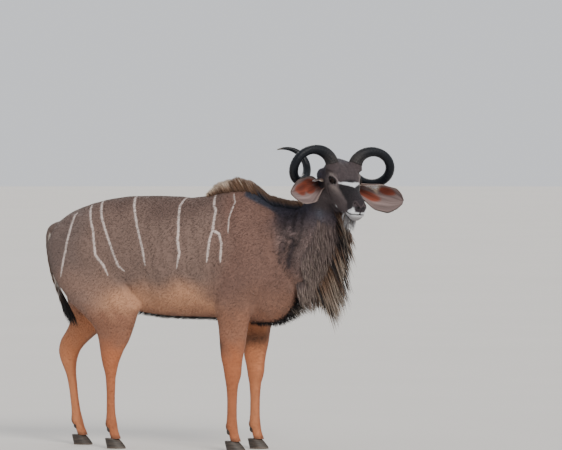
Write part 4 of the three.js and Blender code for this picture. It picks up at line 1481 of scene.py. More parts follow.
def eye_axes(side: int) -> tuple[Array, Array, Array, Array]:
    """Finds one eye's frame.

    Args:
        side: 1 for the left side, -1 for the right.

    Returns:
        Its forward, upward and looking directions and its middle, in the head's frame.
    """
    look = unit(np.array(EYE_LOOK) * mirror(side))
    along = unit(np.array([1, 0, 0]) - look[0] * look)
    up = np.cross(look, along) * side
    return along, up if up[2] > 0 else -up, look, np.array(EYE_AT, float) * mirror(side)


def eye_places(head: Array, side: int) -> Array:
    """Returns head places as places along, up and out of one eye, (3, N)."""
    along, up, look, middle = eye_axes(side)
    return ((head - middle) @ np.stack([along, up, look], axis=1)).T


@dataclass(frozen=True)
class Plane:
    """A cut through the body, by a place on it and the direction that it faces."""

    place: tuple
    way: tuple

    def ahead(self, points: Array) -> Array:
        """Returns how far points lie in front of it."""
        return (points - np.array(self.place)) @ unit(np.array(self.way))


POLL = Plane((-116, 0, -20), (0.93, 0, 0.36))
THROAT = Plane((905, -20, 1216), (0.22, -0.2, 0.95))
NECK_SEAM = Plane((553, 0, 1270), (0.9, 0, 0.436))
NECK_GREY = Plane((590, 0, 1180), (0.93, 0, 0.36))
GROIN = Plane((-95, 0, 662), (-0.275, 0, -0.961))
HIND_LEGS_BEHIND = -60
FRONT_LEGS_BETWEEN = (120, 640)
FRONT_LEGS_UNDER = 640


def head_share(body: Array) -> Array:
    """Tells the head from the rest, with a soft step.

    Args:
        body: places in the body's frame, (N, 3).

    Returns:
        The share for each place, from 0 to 1.
    """
    return smoothstep(-22, 26, np.minimum(POLL.ahead(BODY.body_to_head(body)), THROAT.ahead(body)))


def tail_share(body: Array) -> Array:
    """Tells the tail from the rest.

    Args:
        body: places in the body's frame, (N, 3).

    Returns:
        The share for each place, from 0 to 1.
    """
    _, x, z, radius = TAIL.at(np.linspace(0.16, 1.2, 30))
    away, _ = distance_to_line(body, np.stack([x, 0 * x, z], axis=1))
    return 1 - smoothstep(radius.max() + 4, radius.max() + 14, away)


def tail_front(z: Array) -> Array:
    """Returns the place along X behind which the tail hangs at each height."""
    return np.interp(z, [700, 784, 838, 930, 1026, 1080, 1116], [-575, -590, -613, -638, -650, -650, -660])


def region_of(body: Array) -> Array:
    """Finds the stretch of hide that each place is on.

    Args:
        body: places in the body's frame, (N, 3).

    Returns:
        The index of each place's region.
    """
    x, y, z = body.T
    found = np.full(len(body), Region.TRUNK.index)
    found[NECK_SEAM.ahead(body) > 0] = Region.NECK.index
    hind = (x < HIND_LEGS_BEHIND) & (GROIN.ahead(body) > 0)
    front = (x > FRONT_LEGS_BETWEEN[0]) & (x < FRONT_LEGS_BETWEEN[1]) & (z < FRONT_LEGS_UNDER)
    found[hind & (y < 0)] = Region.HIND_RIGHT.index
    found[hind & (y >= 0)] = Region.HIND_LEFT.index
    found[front & (y < 0)] = Region.FRONT_RIGHT.index
    found[front & (y >= 0)] = Region.FRONT_LEFT.index
    found[(tail_share(body) > 0.5) & (x < tail_front(z))] = Region.TAIL.index
    found[head_share(body) > 0.5] = Region.HEAD.index
    return found


def along_and_around(body: Array, region: Region) -> tuple[Array, Array]:
    """Place on a region's unwrap.

    Args:
        body: places, (N, 3).
        region: the stretch of hide.

    Returns:
        The share of the region's length and of the way round it.
    """
    x, y, z = body.T
    if region is Region.TRUNK:
        return (x + 690) / 1420, 0.5 - np.arctan2(y, z - TRUNK.at(x)[4]) / TURN
    if region is Region.NECK:
        share = np.clip(((body - np.array([560, 0, 1010])) @ unit(np.array([0.62, 0, 0.78]))) / 520, 0, 1)
        _, cx, cy, cz, lean, *_ = NECK.at(share)
        lean = np.radians(lean)
        high = -(x - cx) * np.sin(lean) + (z - cz) * np.cos(lean)
        return share, 0.5 - np.arctan2(y - cy, high) / TURN
    if region is Region.HEAD:
        hx, hy, hz = BODY.body_to_head(body).T
        return (hx + 190) / 450, 0.5 - np.arctan2(hy, hz + 34) / TURN
    if region is Region.TAIL:
        return (1180 - z) / 560, 0.5 - np.arctan2(y, -(x + 664)) / TURN
    hind = region in (Region.HIND_RIGHT, Region.HIND_LEFT)
    label = "right" if region in (Region.HIND_RIGHT, Region.FRONT_RIGHT) else "left"
    x0, y0 = (HIND_LEGS if hind else FRONT_LEGS)[label]
    row = (HIND_LEG if hind else FRONT_LEG).at(z)
    shift = x0 * row[5] if hind else x0
    around = np.arctan2(x - shift - (row[1] + row[2]) / 2, (y - y0) * np.sign(y0))
    return 1 - z / 800, 0.5 - around / TURN


def lie_of_hair(body: Array, region: Array) -> Array:
    """Finds which way the hair lies.

    Args:
        body: places in the body's frame, (N, 3).
        region: the index of each place's region.

    Returns:
        The direction at each place, (N, 3).
    """
    side = np.sign(body[:, 1])
    ways = np.tile([-1.0, 0.0, 0.0], (len(body), 1))
    trunk = region == Region.TRUNK.index
    ways[trunk, 2] = -0.25 - 0.9 * smoothstep(1240, 800, body[trunk, 2])
    ways[trunk, 1] = 0.25 * side[trunk]
    ways[region == Region.NECK.index] = (-0.5, 0, -0.87)
    ways[region == Region.HEAD.index] = BODY.head_way(np.array([[-1.0, 0, -0.25]]))
    for name in (Region.FRONT_RIGHT, Region.FRONT_LEFT, Region.HIND_RIGHT, Region.HIND_LEFT, Region.TAIL):
        ways[region == name.index] = (-0.12, 0, -1)
    return ways


def hair_length(body: Array) -> tuple[Array, Array]:
    """Finds how long and how dense the short hair is.

    Args:
        body: places, (N, 3).

    Returns:
        Its length in metres, and how much of it covers the skin.
    """
    head = BODY.body_to_head(body)
    face = head_share(body)
    x, _, z = body.T
    length = 12.0 - 4 * smoothstep(700, 520, z)
    length = length + 6 * smoothstep(560, 680, x) * (z > 700)
    length = length + (6.5 - length) * face
    length = length - 3.0 * smoothstep(60, 200, head[:, 0]) * face
    cover = np.ones(len(body))
    for _, side in SIDES:
        along, up, out = eye_places(head, side)
        near = np.sqrt((along / 25) ** 2 + (up / 19) ** 2)
        cover *= smoothstep(0.85, 1.2, near + 10 * (np.abs(out) > 40))
    cover *= 1 - nose_pad(head) * face
    cover *= smoothstep(50, 62, z)
    return length * MM, cover


def nose_pad(head: Array) -> Array:
    """Finds the bare skin round the nostrils and along the lips' edge.

    Args:
        head: places in the head's frame, (N, 3).

    Returns:
        The share for each place, from 0 to 1.
    """
    pad = smoothstep(212, 224, head[:, 0]) * smoothstep(-46, -34, head[:, 2])
    pad = pad * (1 - smoothstep(24, 32, np.abs(head[:, 1])))
    lines = [distance_to_line(head * mirror(side), MOUTH_LEFT)[0] for side in (1, -1)]
    return np.maximum(pad, 1 - smoothstep(2.5, 5, np.minimum(*lines)))


MOUTH_FRONT = (247, -52)
MOUTH_CORNER = (161, -83)
MOUTH_SLOPE = 0.365


def mouth_line(side: int) -> Array:
    """Draws the line of the mouth on one side.

    Args:
        side: 1 for the left side, -1 for the right.

    Returns:
        Its points in the head's frame.
    """
    t = np.linspace(0, 1, 14)
    x = MOUTH_FRONT[0] + (MOUTH_CORNER[0] - MOUTH_FRONT[0]) * t**1.6
    z = MOUTH_FRONT[1] + (MOUTH_CORNER[1] - MOUTH_FRONT[1]) * t**1.4
    _, _, bottom, half, middle, _, below = HEAD.at(x)
    drop = np.minimum(1, np.abs((z - middle) / (middle - bottom)))
    y = half * (1 - drop**below) ** (1 / below)
    y[0] = 0
    return np.stack([x, side * y, z], axis=1)


MOUTH_LEFT = mouth_line(1)
NOSTRIL_LINE = np.array([(221, 33, 2), (229, 29, -1), (237, 23, -6), (243, 14, -14)], float)
TEAR_LINE = np.array([(49, 54, 27), (40, 62, 20), (31, 68, 12)], float)
CHEEK_FOLD = np.array([(-6, 84, -14), (-10, 84, -26), (6, 76, -56), (29, 64, -84)], float)
CREST_LINE = np.array([(440, 1304), (530, 1266), (620, 1222)], float)
RUMP_RIM = np.array([(-371, 1262), (-501, 1225), (-560, 1190), (-600, 1150)], float)

MUSCLES = [
    Swell((520, 150, 930), (70, 60, 90), 9), Swell((430, 175, 1080), (70, 60, 120), 5),
    Swell((385, 190, 860), (80, 60, 110), 8), Swell((350, 170, 745), (50, 50, 60), 6),
    Swell((-300, 175, 1195), (42, 50, 36), 11), Swell((-590, 110, 1095), (40, 50, 40), 8),
    Swell((-430, 170, 950), (110, 70, 130), 9), Swell((-250, 190, 830), (60, 50, 90), 7),
    Swell((-350, 200, 1080), (60, 50, 60), -5), Swell((-150, 200, 1180), (100, 60, 50), -4),
    Swell((60, 0, 690), (220, 90, 60), 6, False), Swell((760, 70, 1150), (40, 50, 130), 4),
]
MUSCLES += [
    Crease(((575, 150, 1180), (600, 150, 1060), (585, 150, 940), (560, 130, 830)), 17, 7),
    Crease(((640, 130, 1210), (668, 130, 1090), (655, 120, 950)), 11, 5.5),
    Crease(((700, 110, 1215), (712, 116, 1110), (706, 112, 1010), (694, 100, 930)), 11, 9),
    Crease(((745, 95, 1180), (760, 95, 1080), (745, 90, 980)), 10, 3.5),
    Crease(((330, 195, 1150), (300, 200, 1000), (290, 200, 860), (300, 190, 760)), 22, 5),
    Crease(((-180, 200, 900), (-160, 190, 800), (-150, 150, 715)), 24, 7),
    Crease(((-590, 130, 1060), (-585, 130, 960), (-560, 120, 860)), 18, 5),
]
FACE_FORMS = [
    Swell((6, 74, 30), (34, 16, 11), 5.5), Swell((-26, 80, 14), (18, 18, 22), 3.5),
    Swell((34, 66, -22), (26, 16, 14), 2.5), Swell((-34, 76, -74), (52, 26, 42), 5),
    Swell((60, 52, -34), (50, 16, 10), 2.5), Swell((60, 50, -6), (44, 14, 12), -3.0),
    Swell((-46, 26, 92), (26, 20, 20), 3), Swell((130, 0, 38), (90, 12, 14), 2.0, False),
    Swell((118, 44, -56), (60, 14, 24), -3.5), Swell((204, 38, -52), (26, 14, 18), 3.5),
    Swell((226, 0, -96), (26, 24, 14), 3.0, False), Swell((-70, 70, -118), (34, 26, 26), -4),
    Crease(((-84, 0, 76), (-30, 0, 74), (30, 0, 54)), 9, 4.5, False),
    Crease(((-30, 40, 78), (14, 44, 58), (44, 52, 34)), 10, 2.4),
    Crease(((-6, 84, -14), (-10, 84, -26), (6, 76, -56), (29, 64, -84)), 6, 2.4),
    Crease(((-58, 84, -20), (-62, 86, -50), (-48, 82, -92), (-20, 68, -126)), 10, -2.4),
    Crease(((36, 64, -2), (74, 52, -16), (110, 46, -30)), 7, 1.8),
]
NOSE_FORMS = [
    Crease(tuple(map(tuple, NOSTRIL_LINE)), 8.0, 11.0), Swell((240, 18, -11), (7, 7, 7), -4),
    Swell((229, 22, 9), (13, 9, 6), 3.4), Swell((222, 38, -8), (9, 6, 11), 3.2),
    Swell((232, 34, -20), (9, 7, 7), 2.6), Swell((246, 9, -22), (8, 6, 8), 2.4),
    Swell((248, 0, -34), (7, 2.8, 15), -2.8, False),
    Crease(tuple(map(tuple, MOUTH_LEFT)), 3.0, 4.6),
    Crease(tuple(map(tuple, MOUTH_LEFT + np.array([-2, 0, 10]))), 6.5, -2.2),
    Crease(tuple(map(tuple, MOUTH_LEFT + np.array([-4, 0, -10]))), 6.5, -1.8),
]


def rib_waves(body: Array) -> Array:
    """Makes faint waves over the ribs.

    Args:
        body: places in the body's frame, (N, 3).

    Returns:
        The lift of each place.
    """
    x, _, z = body.T
    place = smoothstep(-170, -40, x) * smoothstep(300, 200, x)
    place = place * smoothstep(760, 860, z) * smoothstep(1210, 1120, z)
    return 1.3 * place * np.sin((x + 0.28 * (z - 950)) * TURN / 62)


def mouth_height(x: Array) -> Array:
    """Returns the height under which the chin lies, along a straight line beside the mouth."""
    return MOUTH_CORNER[1] + (x - MOUTH_CORNER[0]) * MOUTH_SLOPE


class Markings:
    """Colour of the coat at places of the skin."""

    def __init__(self, body: Array, normals: Array) -> None:
        """Keeps the places in the body's and the head's frames.

        Args:
            body: places in the body's frame, (N, 3).
            normals: the skin's normals there.
        """
        self.body = body
        self.head = BODY.body_to_head(body)
        self.normals = normals
        self.face = head_share(body)

    def tint(self) -> Array:
        """Lays all the marks on each other.

        Returns:
            The tint of each place, linear, (N, 3).
        """
        tint = self.trunk_tint()
        tint = self.leg_tint(tint)
        tint = self.neck_tint(tint)
        tint = self.tail_tint(tint)
        return blend(tint, self.head_tint(), self.face)

    def trunk_tint(self) -> Array:
        """Colours the trunk: grey-brown above, warmer below.

        Returns:
            The tints, (N, 3).
        """
        x, y, z = self.body.T
        wander = 40 * ripple(self.body, 260, 21)
        tint = np.tile(Tint.FLANK.linear, (len(x), 1))
        tint = blend(tint, Tint.BACK, smoothstep(1120, 1280, z + wander))
        tint = blend(tint, Tint.BELLY, smoothstep(900, 730, z + wander))
        tint = blend(tint, Tint.RUMP, 0.8 * smoothstep(-330, -520, x + wander))
        tint = blend(tint, Tint.THIGH, smoothstep(-200, -420, x) * smoothstep(980, 800, z + wander))
        tint = blend(tint, Tint.SHOULDER, smoothstep(230, 420, x + wander) * 0.85)
        spine = bell((y, 0, 26)) * smoothstep(1150, 1230, z) * smoothstep(240, 120, x)
        tint = blend(tint, Tint.BLACK_HAIR, 0.35 * spine)
        crest = distance_to_line(self.body[:, [0, 2]], CREST_LINE)[0]
        # Dark bluish band along the crest: partly dark hair, partly painted shade with a sky-blue cast
        tint = blend(tint, Tint.WITHERS_DARK_AND_SHADE, 0.97 * smoothstep(34, 18, crest + 0.1 * wander))
        belly = smoothstep(700, 682, z) * bell((y, 0, 60)) * smoothstep(-200, -100, x)
        return blend(tint, Tint.BLACK_HAIR, 0.8 * belly * smoothstep(330, 230, x))

    def leg_tint(self, tint: Array) -> Array:
        """Adds the legs: tan, paler inside, with a dark patch behind each knee and painted shade inside the
        forelegs.

        Args:
            tint: the tints so far, linear, (N, 3).

        Returns:
            The tints with these marks, (N, 3).
        """
        x, y, z = self.body.T
        wander = 18 * ripple(self.body, 90, 22)
        leg = smoothstep(760, 640, z + wander)
        tint = blend(tint, Tint.LEG_UPPER, leg)
        tint = blend(tint, Tint.LEG_LOWER, smoothstep(600, 440, z + wander))
        inward, rearward = -np.sign(y) * self.normals[:, 1], -self.normals[:, 0]
        tint = blend(tint, Tint.LEG_INSIDE, 0.6 * smoothstep(0.3, 0.9, inward) * leg)
        patches = (
            (0.85, 526, 32, smoothstep(0.1, 0.8, rearward) * (x > 100)),
            # Painted shade: the band inside the forelegs stands in for the shade between the legs
            (0.8, 560, 34, smoothstep(0.2, 0.8, inward) * (x > 100)),
            (0.7, 118, 26, smoothstep(0.1, 0.8, rearward)),
        )
        for strength, height, reach, place in patches:
            tint = blend(tint, Tint.DARK_MARK_AND_SHADE, strength * bell((z, height, reach)) * place)
        return blend(tint, Tint.DARK_MARK_AND_SHADE, 0.55 * smoothstep(74, 56, z))

    def neck_tint(self, tint: Array) -> Array:
        """Adds the neck: grey and darkest high up, with painted shade in its creases and folds and a painted
        sheen behind the jaw.

        Args:
            tint: the tints so far, linear, (N, 3).

        Returns:
            The tints with these marks, (N, 3).
        """
        x, _, z = self.body.T
        share = smoothstep(-60, 90, NECK_GREY.ahead(self.body) + 30 * ripple(self.body, 140, 23))
        grey = np.tile(Tint.NECK_LOW.linear, (len(x), 1))
        tint = blend(tint, blend(grey, Tint.NECK_HIGH, smoothstep(1060, 1240, z)), share)
        # Painted shade in the neck's creases and along its folds
        folds = [c for c in MUSCLES if isinstance(c, Crease) and c.line[0][0] > 600]
        creases = sum(np.clip(-fold.lift(self.body) / fold.depth, 0, 1) for fold in folds)
        tint = blend(tint, Tint.PAINTED_CREASE_SHADE, np.clip(1.2 * creases**1.6, 0, 0.95))
        for fold, strength in NECK_FOLD_SHADES:
            away = distance_to_line(self.body[:, [0, 2]], np.array(fold, float))[0]
            tint = blend(tint, Tint.PAINTED_CREASE_SHADE, strength * smoothstep(15, 5, away))
        # Painted sheen: a bluish lighter patch on the neck behind the jaw
        tint = blend(tint, Tint.NECK_PAINTED_SHEEN, 0.75 * bell((x, 842, 20), (z, 1256, 62)))
        # Painted shade on the chest below the crease
        tint = blend(tint, Tint.PAINTED_CREASE_SHADE, 0.6 * bell((x, 692, 34), (z, 968, 60)))
        drawn = self.body * np.array([1, 0.6, 0.09]) + np.array([0, 0, 1]) * x[:, None] * 0.05
        return tint * (1 + 0.18 * ripple(drawn, 15, 28) * share)[:, None]

    def tail_tint(self, tint: Array) -> Array:
        """Adds the tail: like the rump above, white below.

        Args:
            tint: the tints so far, linear, (N, 3).

        Returns:
            The tints with these marks, (N, 3).
        """
        tail = tail_share(self.body) * (self.body[:, 0] < tail_front(self.body[:, 2]))
        tint = blend(tint, Tint.RUMP, tail)
        below = smoothstep(-0.1, 0.5, self.normals[:, 0]) * tail
        return blend(tint, Tint.TAIL_WHITE, 0.85 * below)

    def near_line(self, line: Array) -> Array:
        """Returns the distance of head places, taken to the left side, from a line there."""
        return distance_to_line(folded(self.head), line)[0]

    def head_tint(self) -> Array:
        """Colours the head with its pale and dark marks.

        Returns:
            The tints, (N, 3).
        """
        x, y, z = self.head.T
        wide = np.abs(y)
        wander = 4 * ripple(self.head, 34, 24)
        tint = np.tile(Tint.FOREHEAD.linear, (len(x), 1))
        cheek = smoothstep(30, 8, z + wander) * smoothstep(-66, -38, x + wander)
        tint = blend(tint, Tint.CHEEK, cheek * (1 - 0.75 * smoothstep(-30, -72, z + wander)))
        tint = blend(tint, Tint.NECK_HIGH, smoothstep(-40, -100, x + wander) * (1 - 0.4 * (z > 0)))
        streak = ripple(self.head * np.array([0.25, 1, 0.5]), 7, 27)
        tint = tint * (1 + 0.16 * streak * smoothstep(10, 40, z))[:, None]
        folds = ripple(self.head * np.array([1, 0.5, 0.16]) + 0.3 * self.head[:, 2:], 8, 29)
        tint = tint * (1 + 0.17 * folds * smoothstep(10, -20, z) * smoothstep(90, 60, x))[:, None]
        # Painted shade behind the jaw and along the throat under it
        tint = blend(tint, Tint.PAINTED_CREASE_SHADE, 0.6 * bell((x, -72, 22), (z, -84, 52)))
        under_jaw_shade = smoothstep(-104, -132, z + wander) * smoothstep(150, 90, x)
        tint = blend(tint, Tint.PAINTED_CREASE_SHADE, 0.6 * under_jaw_shade)
        pale = bell((x, 36, 40), (z, -12, 13)) * smoothstep(44, 60, wide)
        tint = blend(tint, Tint.PALE_EYE, 0.62 * pale)
        # Pale brow over the eye, partly a painted highlight on the skin fold there
        above = bell((x, -8, 20), (z, 36, 7)) * smoothstep(50, 62, wide)
        tint = blend(tint, Tint.PALE_EYE, 0.8 * above)
        # Painted shade along the cheek's fold
        tint = blend(tint, Tint.PAINTED_CREASE_SHADE, 0.5 * smoothstep(9, 3, self.near_line(CHEEK_FOLD)))
        floor = np.interp(x, [60, 80, 120, 160, 195, 225], [8, -6, -20, -35, -45, -42])
        mask = smoothstep(-13, 9, z - floor + wander) * smoothstep(48, 66, x)
        tint = blend(tint, Tint.NOSE_BRIDGE, mask)
        tint = blend(tint, Tint.MUZZLE, smoothstep(130, 180, x + 2 * wander) * smoothstep(-72, -50, z))
        tint = blend(tint, Tint.WHITE, self.chevron())
        tint = blend(tint, Tint.WHITE, 0.5 * smoothstep(3.5, 1.5, self.near_line(TEAR_LINE)))
        tint = blend(tint, Tint.WHITE, self.lip())
        mouth = mouth_height(x)
        chin = smoothstep(140, 172, x + wander) * smoothstep(2, -6, z - mouth)
        tint = blend(tint, Tint.CHIN, 0.9 * chin * (1 - 0.55 * smoothstep(-8, -26, z - mouth)))
        spot = bell((x, 60, 6), (z, -106, 6)) * (wide > 30)
        tint = blend(tint, Tint.WHITE, np.clip(spot, 0, 0.75))
        lips = self.near_line(MOUTH_LEFT)
        # Dark lip edge along the mouth's line, partly painted shade in the mouth's crease
        tint = blend(tint, Tint.LID, smoothstep(5.0, 2.8, lips))
        tint = blend(tint, Tint.MUZZLE, nose_pad(self.head) * smoothstep(3, 6, lips))
        nostril = self.near_line(NOSTRIL_LINE)
        tint = blend(tint, Tint.FOREHEAD, 0.6 * smoothstep(17, 12, nostril) * (z > -14))
        # Painted shade: the nostril's hollow drawn near black
        tint = blend(tint, 0.15 * Tint.LID.linear, smoothstep(9.5, 6.5, nostril))
        return self.eye_tint(tint)

    def lip(self) -> Array:
        """Finds the white along the upper lip and beside the nostrils.

        Returns:
            The share for each place, from 0 to 1.
        """
        x, y, z = self.head.T
        wide = np.abs(y)
        wander = 2 * ripple(self.head, 22, 26)
        high = np.minimum(-72 + (x - 172) * 0.84, -30)
        band = smoothstep(3, -3, z - high + wander) * smoothstep(-3, 2, z - mouth_height(x))
        band = band * smoothstep(166, 180, x)
        rim = bell((x, 231, 8), (wide, 36, 8), (z, -29, 8))
        front = bell((x, 246, 10), (wide, 13, 8), (z, -28, 8))
        share = np.clip(np.maximum(band, 1.3 * np.maximum(rim, front)), 0, 1)
        return 0.95 * share * smoothstep(2.5, 6, wide)

    def chevron(self) -> Array:
        """Finds the white bar between the eyes.

        Returns:
            The share for each place, from 0 to 1.
        """
        x, y, z = self.head.T
        wide = np.abs(y)
        wander = 1.5 * ripple(self.head, 24, 25)
        rear, front = 84 - 0.62 * wide + wander, 124 - 1.26 * wide + wander
        bar = smoothstep(-2, 2, x - rear) * smoothstep(2, -2, x - front)
        return 0.95 * bar * smoothstep(62, 54, wide) * smoothstep(-2, 10, z)

    def eye_tint(self, tint: Array) -> Array:
        """Darkens the skin round the eyes.

        Args:
            tint: the tints so far, linear, (N, 3).

        Returns:
            The tints with these marks, (N, 3).
        """
        for _, side in SIDES:
            along, up, out = eye_places(self.head, side)
            reach = np.sqrt((along / 31) ** 2 + (up / 13) ** 2) + 5 * (np.abs(out) > 45)
            tint = blend(tint, Tint.LID, 0.95 * smoothstep(1.2, 0.95, reach))
        return tint


def stripe_gap(body: Array) -> Array:
    """Distance to the edge of the nearest white stripe.

    Args:
        body: places, (N, 3).

    Returns:
        The distance in metres, negative inside a stripe and NO_STRIPE on the head.
    """
    y = body[:, 1]
    gap = np.full(len(body), NO_STRIPE / MM)
    for number, line in enumerate(STRIPES + FAINT_STRIPES):
        for side in (-1, 1):
            path = np.array(line, float) + np.array([0 if side < 0 else LEFT_SHIFTS[number], 0])
            away, share = distance_to_line(body[:, [0, 2]], path)
            half = 4.0 * smoothstep(0, 0.12, share + 0.06) * smoothstep(1.0, 0.8, share - 0.05)
            half = half - (2.5 if number >= len(STRIPES) else 0) - 60 * (y * side < 0)
            gap = np.minimum(gap, away - half)
    away, _ = distance_to_line(body[:, [0, 2]], RUMP_RIM)
    gap = np.minimum(gap, away + 0.5 * np.abs(y) - 5)
    return np.where(head_share(body) > 0.2, NO_STRIPE / MM, gap) * MM


@dataclass
class Roots:
    """Places from which long hair grows, all in body millimetres."""

    place: list = field(default_factory=list)
    way: list = field(default_factory=list)
    flat: list = field(default_factory=list)
    size: list = field(default_factory=list)
    root_tint: list = field(default_factory=list)
    tip_tint: list = field(default_factory=list)

    def grow(self, root: Array, tip: Array, flat: Array, width: float, thick: float, tints: tuple) -> None:
        """Adds one lock.

        Args:
            root: where it starts.
            tip: where it ends.
            flat: the way its face looks.
            width: its width.
            thick: its thickness.
            tints: its root and tip tints.
        """
        step = np.asarray(tip, float) - np.asarray(root, float)
        length = float(np.linalg.norm(step))
        self.place.append(root)
        self.way.append(step / max(length, 1e-9))
        self.flat.append(flat)
        self.size.append((thick, width, length))
        self.root_tint.append(tints[0])
        self.tip_tint.append(tints[1])


def blade_object(name: str, sides: int, rings: int, bend: float, spikes: int = 1) -> Object:
    """Shape that each tuft or lock repeats, one long, one wide and one thick.

    Args:
        name: its name.
        sides: points round it.
        rings: rings from root to tip.
        bend: how far its middle stands towards +X.
        spikes: how many fine spikes fan out side by side.

    Returns:
        The object, out of the scene's sight, with its unwrap and its height as attributes.
    """
    points, faces, flat, height = [], [], [], []
    for spike in range(spikes):
        centre = (spike - (spikes - 1) / 2) / max(spikes, 1)
        share = 1.0 / spikes
        tip_shift = centre * 0.5
        reach = 1.0 - 0.28 * abs(centre) - 0.12 * (spike % 2)
        start = len(points)
        for r in range(rings):
            t = r / rings
            wide = (0.7 + 0.9 * t - 1.55 * t * t) * 0.62 * share
            for s in range(sides):
                angle = TURN * s / sides
                x = math.cos(angle) * wide / share * 0.8 + bend * 4 * t * (1 - t)
                y = centre + tip_shift * t + math.sin(angle) * wide
                points.append((x, y, t * reach))
                flat.append((t, 0.5 + y * 0.5, 0))
                height.append(t)
        points.append((0, centre + tip_shift, reach))
        flat.append((1, 0.5 + centre * 0.5, 0))
        height.append(1.0)
        for r in range(rings - 1):
            a, b = start + r * sides, start + (r + 1) * sides
            faces += [(a + i, a + (i + 1) % sides, b + (i + 1) % sides, b + i) for i in range(sides)]
        last, tip = start + (rings - 1) * sides, len(points) - 1
        faces += [(last + i, last + (i + 1) % sides, tip) for i in range(sides)]
        faces.append(tuple(start + i for i in reversed(range(sides))))
    mesh = bpy.data.meshes.new(name)
    mesh.from_pydata(points, [], faces)
    store_values(mesh, {"blade_flat": np.array(flat), "blade_tip": np.array(height)})
    mesh.shade_smooth()
    return bpy.data.objects.new(name, mesh)


